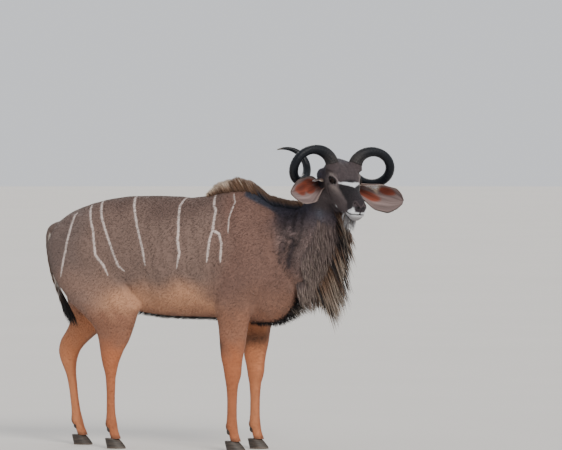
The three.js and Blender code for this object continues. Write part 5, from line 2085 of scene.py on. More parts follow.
class HairTree:
    """Geometry Nodes tree that sets a blade on points and ends in a plain mesh with its OFBake map."""

    def __init__(self, scatter: bool) -> None:
        """Builds the tree.

        Args:
            scatter: whether it spreads its points over a surface or takes them as they come.
        """
        self.tree = bpy.data.node_groups.new("short_fur" if scatter else "long_locks", "GeometryNodeTree")
        self.nodes = Nodes(self.tree)
        self.ids: dict[str, str] = {}
        self.socket("Geometry", "NodeSocketGeometry")
        self.socket("Blade", "NodeSocketObject")
        self.socket("Finish", "NodeSocketMaterial")
        self.socket("Seed", "NodeSocketInt")
        if scatter:
            for name in ("Density", "Width", "Thickness", "Lift", "Mess"):
                self.socket(name, "NodeSocketFloat")
        self.tree.interface.new_socket("Geometry", in_out="OUTPUT", socket_type="NodeSocketGeometry")
        self.inputs = self.nodes.add("NodeGroupInput").outputs
        points, rotation, scale = self.scattered() if scatter else self.given()
        self.finish(points, rotation, scale)

    def socket(self, name: str, kind: str) -> None:
        """Adds a named input and notes its identifier."""
        self.ids[name] = self.tree.interface.new_socket(name, in_out="INPUT", socket_type=kind).identifier

    def named(self, name: str, kind: str) -> Socket:
        """Returns a named attribute's value."""
        node = self.nodes.add("GeometryNodeInputNamedAttribute", {"Name": name}, data_type=kind)
        return next(o for o in node.outputs if o.enabled and o.name == "Attribute")

    def vector(self, operation: str, *values: object) -> Socket:
        """Returns the vector result of a Vector Math node."""
        inputs = {("Scale" if operation == "SCALE" and i == 1 else i): v for i, v in enumerate(values)}
        return self.nodes.add("ShaderNodeVectorMath", inputs, operation=operation).outputs[0]

    def random(self, low: object, high: object, salt: int, kind: str = "FLOAT") -> Socket:
        """Draws a random value for each point, repeatable by the seed.

        Args:
            low: its least.
            high: its most.
            salt: the number that sets this draw apart.
            kind: its data type.

        Returns:
            The value's socket.
        """
        seed = self.nodes.math("ADD", self.inputs["Seed"], float(salt))
        node = self.nodes.add("FunctionNodeRandomValue", data_type=kind)
        sockets = [s for s in node.inputs if s.enabled and s.name in ("Min", "Max")]
        sockets[0].default_value, sockets[1].default_value = low, high
        self.tree.links.new(seed, next(s for s in node.inputs if s.name == "Seed"))
        return next(o for o in node.outputs if o.enabled)

    def turned(self, way: Socket, flat: Socket) -> Socket:
        """Turns a blade along a way.

        Args:
            way: where its length points.
            flat: where its face looks.

        Returns:
            The rotation's socket.
        """
        first = self.nodes.add("FunctionNodeAlignRotationToVector", {"Vector": way}, axis="Z")
        inputs = {"Rotation": first.outputs[0], "Vector": flat}
        second = self.nodes.add("FunctionNodeAlignRotationToVector", inputs, axis="X", pivot_axis="Z")
        return second.outputs[0]

    def scattered(self) -> tuple:
        """Scatters points over the surface by its cover.

        Returns:
            The points, their rotation along the lie, and their size.
        """
        density = self.nodes.math("MULTIPLY", self.inputs["Density"], self.named("cover", "FLOAT"))
        inputs = {"Mesh": self.inputs["Geometry"], "Density": density, "Seed": self.inputs["Seed"]}
        spread = self.nodes.add("GeometryNodeDistributePointsOnFaces", inputs)
        inputs = {"Geometry": spread.outputs[0], "Name": "root_way", "Value": spread.outputs["Normal"]}
        kept = self.nodes.add("GeometryNodeStoreNamedAttribute", inputs, data_type="FLOAT_VECTOR")
        normal = self.named("root_way", "FLOAT_VECTOR")
        stray = self.random((-1, -1, -1), (1, 1, 1), 3, "FLOAT_VECTOR")
        raised = self.vector("SCALE", normal, self.inputs["Lift"])
        way = self.vector("ADD", self.named("lie", "FLOAT_VECTOR"), raised)
        way = self.vector("ADD", way, self.vector("SCALE", stray, self.inputs["Mess"]))
        rotation = self.turned(way, normal)
        length = self.nodes.math("MULTIPLY", self.named("hair", "FLOAT"), self.random(0.7, 1.25, 5))
        width = self.nodes.math("MULTIPLY", self.inputs["Width"], self.random(0.75, 1.25, 6))
        sizes = {0: self.inputs["Thickness"], 1: width, 2: length}
        return kept.outputs[0], rotation, self.nodes.add("ShaderNodeCombineXYZ", sizes).outputs[0]

    def given(self) -> tuple:
        """Points that are given, with their own way, face and size."""
        rotation = self.turned(self.named("way", "FLOAT_VECTOR"), self.named("flat", "FLOAT_VECTOR"))
        return self.inputs["Geometry"], rotation, self.named("size", "FLOAT_VECTOR")

    def finish(self, points: Socket, rotation: Socket, scale: Socket) -> None:
        """Sets the blades, makes them real and gives them their bake patches and finish.

        Args:
            points: where they stand.
            rotation: how they are turned.
            scale: their sizes.
        """
        blade = self.nodes.add("GeometryNodeObjectInfo", {"Object": self.inputs["Blade"]}).outputs["Geometry"]
        inputs = {"Points": points, "Instance": blade, "Rotation": rotation, "Scale": scale}
        placed_blades = self.nodes.add("GeometryNodeInstanceOnPoints", inputs)
        real = self.nodes.add("GeometryNodeRealizeInstances", {"Geometry": placed_blades.outputs[0]})
        patch = self.vector("SCALE", self.named("blade_flat", "FLOAT_VECTOR"), BAKE_PATCH)
        uv = self.vector("ADD", self.named("root_uv", "FLOAT_VECTOR"), patch)
        inputs = {"Geometry": real.outputs[0], "Name": "OFBake"}
        kept = self.nodes.add("GeometryNodeStoreNamedAttribute", inputs, data_type="FLOAT2", domain="CORNER")
        self.tree.links.new(uv, next(s for s in kept.inputs if s.name == "Value" and s.enabled))
        inputs = {"Geometry": kept.outputs[0], "Material": self.inputs["Finish"]}
        finished = self.nodes.add("GeometryNodeSetMaterial", inputs)
        self.tree.links.new(finished.outputs[0], self.nodes.add("NodeGroupOutput").inputs[0])

    def run(self, name: str, mesh: Mesh, settings: dict) -> Object:
        """Runs the tree on a mesh.

        Args:
            name: the finished piece's name.
            mesh: what the hair grows on.
            settings: values of the tree's named inputs.

        Returns:
            The finished object, with no modifier.
        """
        obj = placed(name, mesh)
        modifier = obj.modifiers.new("hair", "NODES")
        modifier.node_group = self.tree
        for key, value in settings.items():
            modifier[self.ids[key]] = value
        obj.data = evaluated_copy(obj)
        for spare in ("blade_flat", "root_way", "way", "flat", "size", "lie", "hair", "cover", "root_uv"):
            if spare in obj.data.attributes:
                obj.data.attributes.remove(obj.data.attributes[spare])
        return obj


@dataclass
class Coat:
    """Short fur over the skin, in pieces by stretch of the body, with tufts per square metre."""

    hide: Hide
    trunk_density: float = 25000.0
    neck_density: float = 44000.0
    head_density: float = 110000.0
    leg_density: float = 19500.0
    thickness: float = 0.0005
    mess: float = 0.05
    quick_share: float = 0.25

    def patch(self, name: str, chosen: Array) -> Mesh:
        """Cuts out a part of the skin, with what the hair reads.

        Args:
            name: the new mesh's name.
            chosen: which faces it keeps.

        Returns:
            The part as a mesh.
        """
        mesh = self.hide.obj.data.copy()
        mesh.name = name
        bm = bmesh.new()
        bm.from_mesh(mesh)
        bm.faces.ensure_lookup_table()
        gone = [bm.faces[i] for i in np.flatnonzero(~chosen)]
        bmesh.ops.delete(bm, geom=gone, context="FACES")
        bm.to_mesh(mesh)
        bm.free()
        uv = np.zeros(len(mesh.loops) * 2, np.float32)
        mesh.uv_layers["coat_uv"].data.foreach_get("uv", uv)
        flat = np.hstack([uv.reshape(-1, 2), np.zeros((len(mesh.loops), 1), np.float32)])
        mesh.attributes.new("root_uv", "FLOAT_VECTOR", "CORNER").data.foreach_set("vector", flat.ravel())
        mesh.uv_layers.remove(mesh.uv_layers["coat_uv"])
        return mesh

    def build(self) -> None:
        """Makes the fur pieces."""
        tree = HairTree(scatter=True)
        thirds = corners_of(self.hide.obj.data).reshape(-1, 3)
        centres = BODY.to_body(self.hide.points)[thirds].mean(axis=1)
        region = region_of(centres)
        trunk, head, neck = (region == r.index for r in (Region.TRUNK, Region.HEAD, Region.NECK))
        left, fore = centres[:, 1] > 0, centres[:, 0] > -20
        tuft = blade_object("tuft_shape", 3, 1, 0.0, 3)
        short = blade_object("short_tuft_shape", 3, 1, 0.0, 2)
        material = FUR.material()
        sides = (("right_fore", ~left & fore), ("right_rear", ~left & ~fore), ("left_fore", left & fore),
                 ("left_rear", left & ~fore))
        pieces = [(f"fur_trunk_{name}", trunk & part, "body_coat", tuft, self.trunk_density, 0.0040, 0.06)
                  for name, part in sides]
        pieces += [
            ("fur_neck", neck, "neck_coat", tuft, self.neck_density, 0.0040, 0.1),
            ("fur_head", head, "face_coat", short, self.head_density, 0.0029, 0.12),
            ("fur_legs", ~(trunk | head | neck), "leg_coat", tuft, self.leg_density, 0.0038, 0.07),
        ]
        for seed, (name, chosen, slot, blade, density, width, lift) in enumerate(pieces, 1):
            density = density * 1.0
            settings = {"Blade": blade, "Finish": material, "Seed": seed, "Density": density, "Width": width,
                        "Thickness": self.thickness, "Lift": lift, "Mess": self.mess}
            finish_piece(tree.run(name, self.patch(name, chosen), settings), slot)


MANE_CREAM_TO = 346
MANE_BROWN_TO = 492


def hashed(number: int) -> float:
    """Returns a repeatable number from 0 to 1 for a whole number."""
    wave = math.sin(number * 12.9898) * 43758.5453
    return wave - math.floor(wave)


@dataclass
class LongHair:
    """Mane, throat fringe, curtain, brisket and belly hair, beard, tail, nape and ear hair."""

    hide: Hide
    mane_strands: int = 4200
    mane_clump: float = 13.0
    fringe_clumps: int = 64
    clump_strands: int = 24
    curtain_strands: int = 3400
    brisket_strands: int = 900
    belly_strands: int = 1000
    belly_length: float = 24.0
    nape_strands: int = 70
    nape_length: float = 30.0
    ear_strands: int = 300
    ear_edge_strands: int = 380
    beard_strands: int = 260
    beard_length: float = 78.0
    tail_strands: int = 800
    tail_edge_length: float = 34.0
    tail_end_height: float = 586.0
    sunk: float = 5.0
    ear_sunk: float = 1.5

    def piece(self, name: str, roots: Roots, slot: str, tree: HairTree, settings: dict,
              sunk: float) -> None:
        """Sets locks on their roots and finishes the piece.

        Args:
            name: the piece's name.
            roots: where and how each lock grows.
            slot: the piece's slot.
            tree: the tree that sets the locks.
            settings: the tree's named inputs.
            sunk: how far the locks start under the skin, in millimetres.
        """
        place = np.array(roots.place, float)
        way = np.array(roots.way, float)
        _, uv = self.hide.nearest(place)
        place = place - way * sunk
        mesh = bpy.data.meshes.new(name)
        mesh.from_pydata(BODY.to_row(place).tolist(), [], [])
        size = np.array(roots.size, float)
        size[:, 2] += sunk
        store_values(mesh, {"way": way, "flat": np.array(roots.flat, float), "size": size * MM,
                            "coat_tint": np.array(roots.root_tint), "tip_tint": np.array(roots.tip_tint),
                            "root_uv": np.hstack([uv, np.zeros((len(uv), 1))])})
        finish_piece(tree.run(name, mesh, settings), slot)

    def on_skin(self, points: Array) -> Array:
        """Returns body places moved to the nearest skin."""
        return self.hide.nearest(points)[0]

    def mane(self) -> Roots:
        """Grows the crest over the withers and along the nape.

        Returns:
            The locks' roots, tips and tints.
        """
        draw = np.random.default_rng(41)
        roots = Roots()
        count = draft(self.mane_strands)
        place = draw.uniform(208, 728, count)
        across = draw.normal(0, 9, count)
        _, skin, height = MANE.at(place)
        base = self.on_skin(np.stack([place, across * 1.2, skin - 4], axis=1))
        for x, y, root, high in zip(place, across, base, height):
            clump = math.floor(x / self.mane_clump)
            reach = high * (0.84 + 0.14 * hashed(clump) + 0.12 * draw.random())
            lean = -0.62 * reach + 12 * (draw.random() - 0.5) + 0.1 * ((clump + 0.5) * self.mane_clump - x)
            tip = root + np.array([lean, y * 0.5 + 7 * (draw.random() - 0.5), reach + 4])
            flat = np.array([0.3, 1.0 if draw.random() > 0.5 else -1.0, draw.random() - 0.5])
            tints = self.mane_tints(x + 14 * (draw.random() - 0.5), draw.random())
            roots.grow(root, tip, flat, 3.0, 1.4, tints)
        return roots

    @staticmethod
    def mane_tints(x: float, draw: float) -> tuple:
        """Finds the mane's tints.

        Args:
            x: the place along X.
            draw: a number from 0 to 1 that varies them.

        Returns:
            The root and tip tints.
        """
        if x < MANE_CREAM_TO:
            pale = Tint.CREAM_HAIR if draw < 0.8 else Tint.BROWN_HAIR
            return Tint.BROWN_HAIR.linear * 1.3, pale.linear * (0.9 + 0.4 * draw)
        if x < MANE_BROWN_TO:
            end = Tint.CREAM_HAIR if draw < 0.25 else Tint.BROWN_HAIR
            return Tint.BROWN_HAIR.linear * (0.9 + 0.5 * draw), end.linear * (0.9 + 0.5 * draw)
        # Past the brown part the roots take the crest's tint: partly dark hair, partly painted shade
        return Tint.WITHERS_DARK_AND_SHADE.linear * (0.7 + 0.5 * draw), Tint.BROWN_HAIR.linear * (0.6 + 0.6 * draw)

    def fringe(self) -> Roots:
        """Grows the throat fringe from the chin to the chest, in clumps of fine locks.

        Returns:
            The locks' roots, tips and tints.
        """
        draw = np.random.default_rng(71)
        roots = Roots()
        strands = draft(self.clump_strands)
        for i in range(self.fringe_clumps):
            share = (i + 0.5) / self.fringe_clumps
            side = (-1, 0.35, -0.3, 1, 0)[i % 5]
            _, root_x, root_z, tip_x, tip_z = FRINGE.at(np.clip(share + 0.012 * draw.normal(), 0, 1))[:, 0]
            reach = 0.72 + 0.3 * draw.random()
            middle = np.array([root_x - abs(side) * 14, side * 28 - 4, root_z + 6])
            end = np.array([tip_x + 10 * (draw.random() - 0.5), side * 38 - 6, tip_z])
            end = middle + (end - middle) * reach
            spread = draw.normal(size=(strands, 3)) * np.array([10, 11, 16])
            base = self.on_skin(middle + spread)
            tone = draw.random()
            for root in base:
                tip = end + draw.normal(size=3) * np.array([9, 9, 14])
                tip = root + (tip - root) * (0.72 + 0.34 * draw.random())
                flat = np.array([1.0, 1.4 * (draw.random() - 0.5), 0.3])
                roots.grow(root, tip, flat, 6.0, 2.6, self.fringe_tints(share, side, tone, draw.random()))
        return roots

    def curtain(self) -> Roots:
        """Grows the hair that hangs from the lower neck and chest over the fringe's roots.

        Returns:
            The locks' roots, tips and tints.
        """
        draw = np.random.default_rng(83)
        roots = Roots()
        count = draft(self.curtain_strands)
        share = draw.uniform(0.2, 1.0, count)
        inward = (130 - 75 * smoothstep(0.62, 0.9, share)) * draw.random(count) ** 1.2
        side = np.where(draw.random(count) < 0.5, -1.0, 1.0)
        _, x, z, _, _ = FRINGE.at(share)
        start = np.stack([x - 0.78 * inward, side * (16 + 0.75 * inward), z + 0.42 * inward], axis=1)
        base = self.on_skin(start)
        for s, d, way, root in zip(share, inward, side, base):
            length = (64 + 70 * s) * (0.6 + 0.5 * draw.random()) * (1 - 0.003 * d)
            step = np.array([0.16 * length, way * (5 + 3 * draw.normal()), -length])
            tip = root + step + draw.normal(size=3) * 4
            tone = draw.random()
            tint = Tint.NECK_LOW.linear * (0.45 + 0.6 * tone)
            end = blend(tint[None], Tint.CREAM_HAIR, np.array([0.45 * s * draw.random()]))[0]
            roots.grow(root, tip, np.array([0.2, way, 0.2]), 3.8, 1.5, (tint, end))
        return roots

    @staticmethod
    def fringe_tints(share: float, side: float, tone: float, draw: float) -> tuple:
        """Finds the fringe's tints: dark at the throat, mixed with cream below.

        Args:
            share: the place along the fringe.
            side: the place across it.
            tone: a number from 0 to 1 for its brightness.
            draw: a number from 0 to 1 that picks its tints.

        Returns:
            The root and tip tints.
        """
        pale = 0.25 + 0.35 * share + 0.2 * (side < 0)
        if tone * 0.6 + draw * 0.4 < pale * 0.8:
            return Tint.BROWN_HAIR.linear, Tint.CREAM_HAIR.linear * (0.35 + 0.35 * draw)
        if draw < 0.5:
            return Tint.BLACK_HAIR.linear * 1.6, Tint.BROWN_HAIR.linear * (0.7 + 0.4 * tone)
        return Tint.BLACK_HAIR.linear * 1.6, Tint.BLACK_HAIR.linear * 1.5

    def brisket(self) -> Roots:
        """Grows the bristly hair under the brisket.

        Returns:
            The locks' roots, tips and tints.
        """
        draw = np.random.default_rng(19)
        roots = Roots()
        count = draft(self.brisket_strands)
        share = draw.uniform(0, 1, count) ** 0.8
        _, x, z = BRISKET.at(share)
        y = draw.normal(0, 20, count)
        base = self.on_skin(np.stack([x, y, z + 4], axis=1))
        for s, root, across in zip(share, base, y):
            length = np.interp(s, [0, 0.6, 0.8, 1], [16, 32, 66, 118]) * (0.55 + 0.5 * draw.random())
            step = np.array([length * (0.32 + 0.45 * s), across * 0.25, -length * (0.95 - 0.3 * s)])
            tone = draw.random()
            tip = root + step + draw.normal(size=3) * 5
            pale = float(smoothstep(0.7, 0.9, np.array([s]))[0]) * tone
            end = Tint.BLACK_HAIR.linear[None] * (0.8 + 0.7 * tone)
            end = blend(end, Tint.CREAM_HAIR, np.array([pale]))[0]
            roots.grow(root, tip, np.array([1, 0.6 * (tone - 0.5), 0.5]), 4.5, 2.0,
                       (Tint.BLACK_HAIR.linear * (1 + tone), end))
        return roots

    def belly(self) -> Roots:
        """Grows the short dark fringe along the middle of the belly.

        Returns:
            The locks' roots, tips and tints.
        """
        draw = np.random.default_rng(23)
        roots = Roots()
        count = draft(self.belly_strands)
        x = draw.uniform(-165, 285, count)
        y = draw.normal(0, 15, count)
        base = self.on_skin(np.stack([x, y, TRUNK.at(x)[2]], axis=1))
        for root, across in zip(base, y):
            length = self.belly_length * (0.6 + 0.6 * draw.random())
            tip = root + np.array([-0.8 * length, 0.3 * across, -0.65 * length])
            roots.grow(root, tip, np.array([0.3, 0.4, -1]), 4.0, 1.6,
                       (Tint.BLACK_HAIR.linear * 1.3, Tint.BLACK_HAIR.linear))
        return roots

    def nape_tuft(self) -> Roots:
        """Grows the brown tuft on the nape.

        Returns:
            The locks' roots, tips and tints.
        """
        draw = np.random.default_rng(61)
        roots = Roots()
        for _ in range(draft(self.nape_strands)):
            base = self.on_skin(np.array([[714 + 9 * draw.normal(), -12 + 7 * draw.normal(), 1236]]))[0]
            length = self.nape_length * (0.6 + 0.6 * draw.random())
            tip = base + length * unit(np.array([-0.35 + 0.3 * draw.normal(), 0.2 * draw.normal(), 0.9]))
            roots.grow(base, tip, np.array([0.2, 1, 0]), 3.6, 1.5,
                       (Tint.BROWN_HAIR.linear, Tint.BROWN_HAIR.linear * (1.2 + 0.8 * draw.random())))
        return roots

    def ear_hair(self) -> Roots:
        """Grows long white hair across the inside of each ear, and short hair along its edges.

        Returns:
            The locks' roots, tips and tints.
        """
        draw = np.random.default_rng(47)
        roots = Roots()
        ears = Ears()
        for label, side in SIDES:
            count = draft(self.ear_strands)
            left = side > 0
            share = draw.uniform(0.08, 0.36 if left else 0.16, count)
            t = -0.86 + (1.0 if left else 0.5) * (share - 0.08) + 0.1 * draw.normal(size=count)
            start = ears.sheet(label, share, t, np.ones(count))
            reach = draw.uniform(0.08, 0.17, count)
            end = ears.sheet(label, share + reach, t + 0.9 * reach, np.full(count, 1.6))
            rim_count = draft(self.ear_edge_strands)
            rim = draw.uniform(0.2, 0.97, rim_count)
            edge = np.where(draw.random(rim_count) < 0.5, -1.0, 1.0)
            rim_start = ears.sheet(label, rim, edge * 0.985, np.full(rim_count, 0.5))
            rim_end = ears.sheet(label, np.minimum(rim + 0.03, 0.985), edge * 1.1, np.full(rim_count, 0.5))
            starts = BODY.head_to_body(np.vstack([start, rim_start]) * mirror(side))
            ends = BODY.head_to_body(np.vstack([end, rim_end]) * mirror(side))
            for i, (root, tip) in enumerate(zip(starts, ends)):
                tone = 0.8 + 0.3 * draw.random()
                dark = i >= count and edge[i - count] * side > 0
                root_tint = Tint.CREAM_HAIR if i < count else (Tint.DARK_MARK_AND_SHADE if dark else Tint.EAR_RIM)
                end_tint = Tint.WHITE if i < count else (Tint.DARK_MARK_AND_SHADE if dark else Tint.EAR_RIM)
                width = 3.2 if i < count else 2.2
                roots.grow(root, tip, BODY.head_way(np.array(EAR_OPEN) * mirror(side)), width, 1.2,
                           (root_tint.linear * tone, end_tint.linear * tone))
        return roots

    def beard(self) -> Roots:
        """Grows the pale tuft under the chin.

        Returns:
            The locks' roots, tips and tints.
        """
        draw = np.random.default_rng(5)
        roots = Roots()
        count = draft(self.beard_strands)
        along, across = draw.uniform(112, 178, count), draw.normal(0, 10, count)
        head = np.stack([along, across, np.full(count, -100.0)], axis=1)
        base = self.on_skin(BODY.head_to_body(head))
        for root, local in zip(base, head):
            length = self.beard_length * (0.5 + 0.55 * draw.random())
            length *= 0.55 + 0.45 * smoothstep(118, 150, local[:1])[0]
            tip = root + np.array([-4 - 8 * draw.random(), local[1] * 0.2, -length]) + draw.normal(size=3) * 3
            tone = draw.random()
            start = Tint.CHIN if tone > 0.45 else Tint.BROWN_HAIR
            roots.grow(root, tip, np.array([1, draw.random() - 0.5, 0]), 3.6, 1.8,
                       (start.linear * 0.7, Tint.CHIN.linear * (0.35 + 0.5 * tone)))
        return roots

    def tail(self) -> Roots:
        """Grows the tail's hair: short along its edges, a dark tuft at its end.

        Returns:
            The locks' roots, tips and tints.
        """
        draw = np.random.default_rng(33)
        roots = Roots()
        for _ in range(draft(self.tail_strands)):
            share = draw.uniform(0.35, 1.18)
            angle = draw.uniform(0, TURN)
            _, x, z, radius = TAIL.at(share)[:, 0]
            out = np.array([0.75 * math.cos(angle), math.sin(angle), 0])
            root = np.array([x, 0, z]) + out * radius * 0.8
            tuft = float(smoothstep(0.8, 1.0, np.array([share]))[0])
            length = self.tail_edge_length + tuft * (72 + 24 * draw.random())
            tip = root + np.array([4, 0, -length]) + out * (5 + 12 * tuft * (0.5 + draw.random()))
            tip[0] += 40 * tuft
            tip[2] = max(tip[2], self.tail_end_height)
            pale = out[0] > 0.1 and tuft < 0.5
            tone = draw.random()
            start = (Tint.TAIL_WHITE if pale else Tint.RUMP).linear
            end = (Tint.TAIL_WHITE if pale else Tint.BROWN_HAIR).linear
            start = start + (Tint.BLACK_HAIR.linear * (1 + tone) - start) * tuft
            end = end + (Tint.BLACK_HAIR.linear - end) * tuft
            roots.grow(root, tip, out, 4.5, 2.0, (start, end))
        return roots

    def build(self) -> None:
        """Makes all the long hair."""
        tree = HairTree(scatter=False)
        lock = blade_object("lock_shape", 4, 6, 0.9)
        straight = blade_object("bristle_shape", 3, 4, 0.4)
        material = LOCKS.material()
        pieces = (
            ("mane_hair", self.mane, "body_coat", straight),
            ("throat_fringe", self.fringe, "neck_coat", lock),
            ("neck_curtain", self.curtain, "neck_coat", straight),
            ("brisket_hair", self.brisket, "body_coat", straight),
            ("belly_hair", self.belly, "body_coat", straight),
            ("beard_hair", self.beard, "face_coat", straight),
            ("tail_hair", self.tail, "body_coat", straight),
            ("nape_tuft", self.nape_tuft, "body_coat", straight),
            ("ear_hair", self.ear_hair, "ear_skin", straight),
        )
        for name, roots, slot, blade in pieces:
            sunk = self.ear_sunk if name == "ear_hair" else self.sunk
            self.piece(name, roots(), slot, tree, {"Blade": blade, "Finish": material, "Seed": 1}, sunk)


# Orange patches in each ear: place along and across, then reach along and across
EAR_PATCHES = {
    "right": ((0.40, -0.42, 0.24, 0.34), (0.62, -0.18, 0.24, 0.42), (0.3, 0.1, 0.16, 0.3)),
    "left": ((0.34, 0.22, 0.24, 0.26), (0.66, -0.40, 0.17, 0.30)),
}
# White fan in each ear: its first place across, its drift and its end
EAR_FANS = {"right": (-0.8, 0.4, 0.24), "left": (-0.84, 1.15, 0.5)}


@dataclass
class Ears:
    """The two large cupped ears with folded roots, thin walls and hairy edges."""

    length: float = 286.0
    width: float = 144.0
    root_radius: float = 27.0
    curl: float = 30.0
    lobe: float = 0.25
    rings: int = 56
    across: int = 34

    def sheet(self, label: str, share: Array, t: Array, depth: Array) -> Array:
        """Places on the ear's wall.

        Args:
            label: which ear.
            share: share of the ear's length, (N,).
            t: place across the wall, from -1 to 1.
            depth: 0 on the outer face and 1 on the inner face.

        Returns:
            The places, in the head's frame.
        """
        way = unit(np.array(EAR_WAY[label]))
        opening = np.array(EAR_OPEN)
        opening = unit(opening - (opening @ way) * way)
        side = np.cross(way, opening)
        twist = math.radians(EAR_TWIST[label])
        cos, sin = math.cos(twist), math.sin(twist)
        opening, side = cos * opening + sin * side, cos * side - sin * opening
        _, width, wrap = EAR.at(share)
        half = width * self.width / 2
        spread = np.radians(wrap) / 2
        radius = half / np.sin(np.minimum(spread, math.pi / 2))
        back = np.array(EAR_ROOT) + (share * self.length)[:, None] * way
        back = back + (self.curl * share**2)[:, None] * opening
        back = back + (self.lobe * self.width * share * (1 - share))[:, None] * side
        centre = back + (radius - self.root_radius * 0.5)[:, None] * opening
        wall = 5.0 - 2.6 * share - 1.2 * np.abs(t) ** 3
        fold = 1.8 * np.cos(t * 7.5) * smoothstep(0.1, 0.5, share) * smoothstep(1.0, 0.6, share)
        reach = radius - wall * depth + fold * (0.3 + 0.7 * depth)
        reach = reach - 5 * smoothstep(0.72, 1.0, np.abs(t)) * smoothstep(0.2, 0.5, share)
        angle = spread * t
        return centre - (np.cos(angle) * reach)[:, None] * opening + (np.sin(angle) * reach)[:, None] * side

    def shell(self, label: str, side: int) -> Shell:
        """Builds one ear.

        Args:
            label: right or left.
            side: 1 for the left side, -1 for the right.

        Returns:
            Its closed wall with its tints.
        """
        share = np.repeat(np.linspace(0.0, 0.985, self.rings) ** 0.95, 2 * self.across)
        t = np.linspace(-1, 1, self.across)
        order = np.tile(np.concatenate([t, t[::-1]]), self.rings)
        depth = np.tile(np.concatenate([np.zeros(self.across), np.ones(self.across)]), self.rings)
        head = self.sheet(label, share, order, depth) * mirror(side)
        rings = BODY.head_to_body(head).reshape(self.rings, 2 * self.across, 3)
        made = loft(rings)
        tint = self.tints(label, share, order, depth)
        made.values["coat_tint"] = np.vstack([tint, tint[:1], tint[-1:]])
        made.values["stripe_gap"] = np.full(len(made.points), NO_STRIPE)
        flat = np.stack([share * 0.28, order * 0.07 + depth, 0 * share], axis=1)
        made.values["flat_place"] = np.vstack([flat, flat[:1], flat[-1:]])
        return made

    @staticmethod
    def tints(label: str, share: Array, t: Array, depth: Array) -> Array:
        """Ear tint: brown outside, pale inside with orange bare patches, painted shade towards the root and
        under one rim.

        Args:
            label: which ear.
            share: share of the ear's length, (N,).
            t: place across the wall, from -1 to 1.
            depth: 0 on the outer face and 1 on the inner face.

        Returns:
            The tint of each place, linear.
        """
        tint = np.tile(Tint.EAR_BACK.linear, (len(share), 1))
        inside = np.tile(Tint.EAR_INSIDE.linear, (len(share), 1))
        spots = np.stack([share * 6, t * 2, 0 * t], axis=1)
        wander = 0.12 * ripple(spots, 1.6, 51)
        for along, across, long, wide in EAR_PATCHES[label]:
            reach = np.sqrt(((share - along) / long) ** 2 + ((t - across) / wide) ** 2) + wander
            inside = blend(inside, Tint.EAR_ORANGE, 0.92 * smoothstep(1.15, 0.7, reach))
            inside = blend(inside, Tint.EAR_DEEP_AND_SHADE, 0.4 * smoothstep(0.8, 0.2, reach))
        # Painted shade deep in the ear towards its root
        inside = blend(inside, Tint.EAR_DEEP_AND_SHADE, smoothstep(0.34, 0.1, share) * 0.9)
        streaks = ripple(np.stack([share * 1.4, t * 9 + 1.6 * share, 0 * t], axis=1), 1.1, 52)
        inside = inside * (1 + 0.3 * streaks)[:, None]
        fan = EAR_FANS[label]
        middle = fan[0] + fan[1] * (share - 0.08)
        white = smoothstep(0.1 + 0.5 * share, 0.5 * share, np.abs(t - middle))
        white = white * smoothstep(fan[2] + 0.04, fan[2] - 0.04, share)
        inside = blend(inside, Tint.CREAM_HAIR, 0.9 * white * smoothstep(0.05, 0.12, share))
        inside = blend(inside, Tint.EAR_RIM, 0.7 * smoothstep(0.8, 0.93, np.abs(t)))
        # Dark inner edge on one rim: partly dark hair, partly the painted shadow that the rim casts in the
        # cup
        rim_dark_and_shade = t if label == "left" else -t
        rim_dark_and_shade = smoothstep(0.86, 0.95, rim_dark_and_shade) * smoothstep(0.2, 0.4, share)
        inside = blend(inside, Tint.DARK_MARK_AND_SHADE, 0.85 * rim_dark_and_shade)
        tint = blend(tint, inside, depth)
        edge = smoothstep(0.9, 1.0, np.abs(t)) * (1 - depth)
        return blend(tint, Tint.DARK_MARK_AND_SHADE, 0.6 * edge)

    def build(self) -> None:
        """Makes both ears."""
        for label, side in SIDES:
            obj = make_object(f"ear_{label}_cup", self.shell(label, side))
            uv_from_points(obj.data, "coat_uv")
            obj.data.materials.append(HIDE.material())
            finish_piece(obj, "ear_skin", f"ear_{label}")


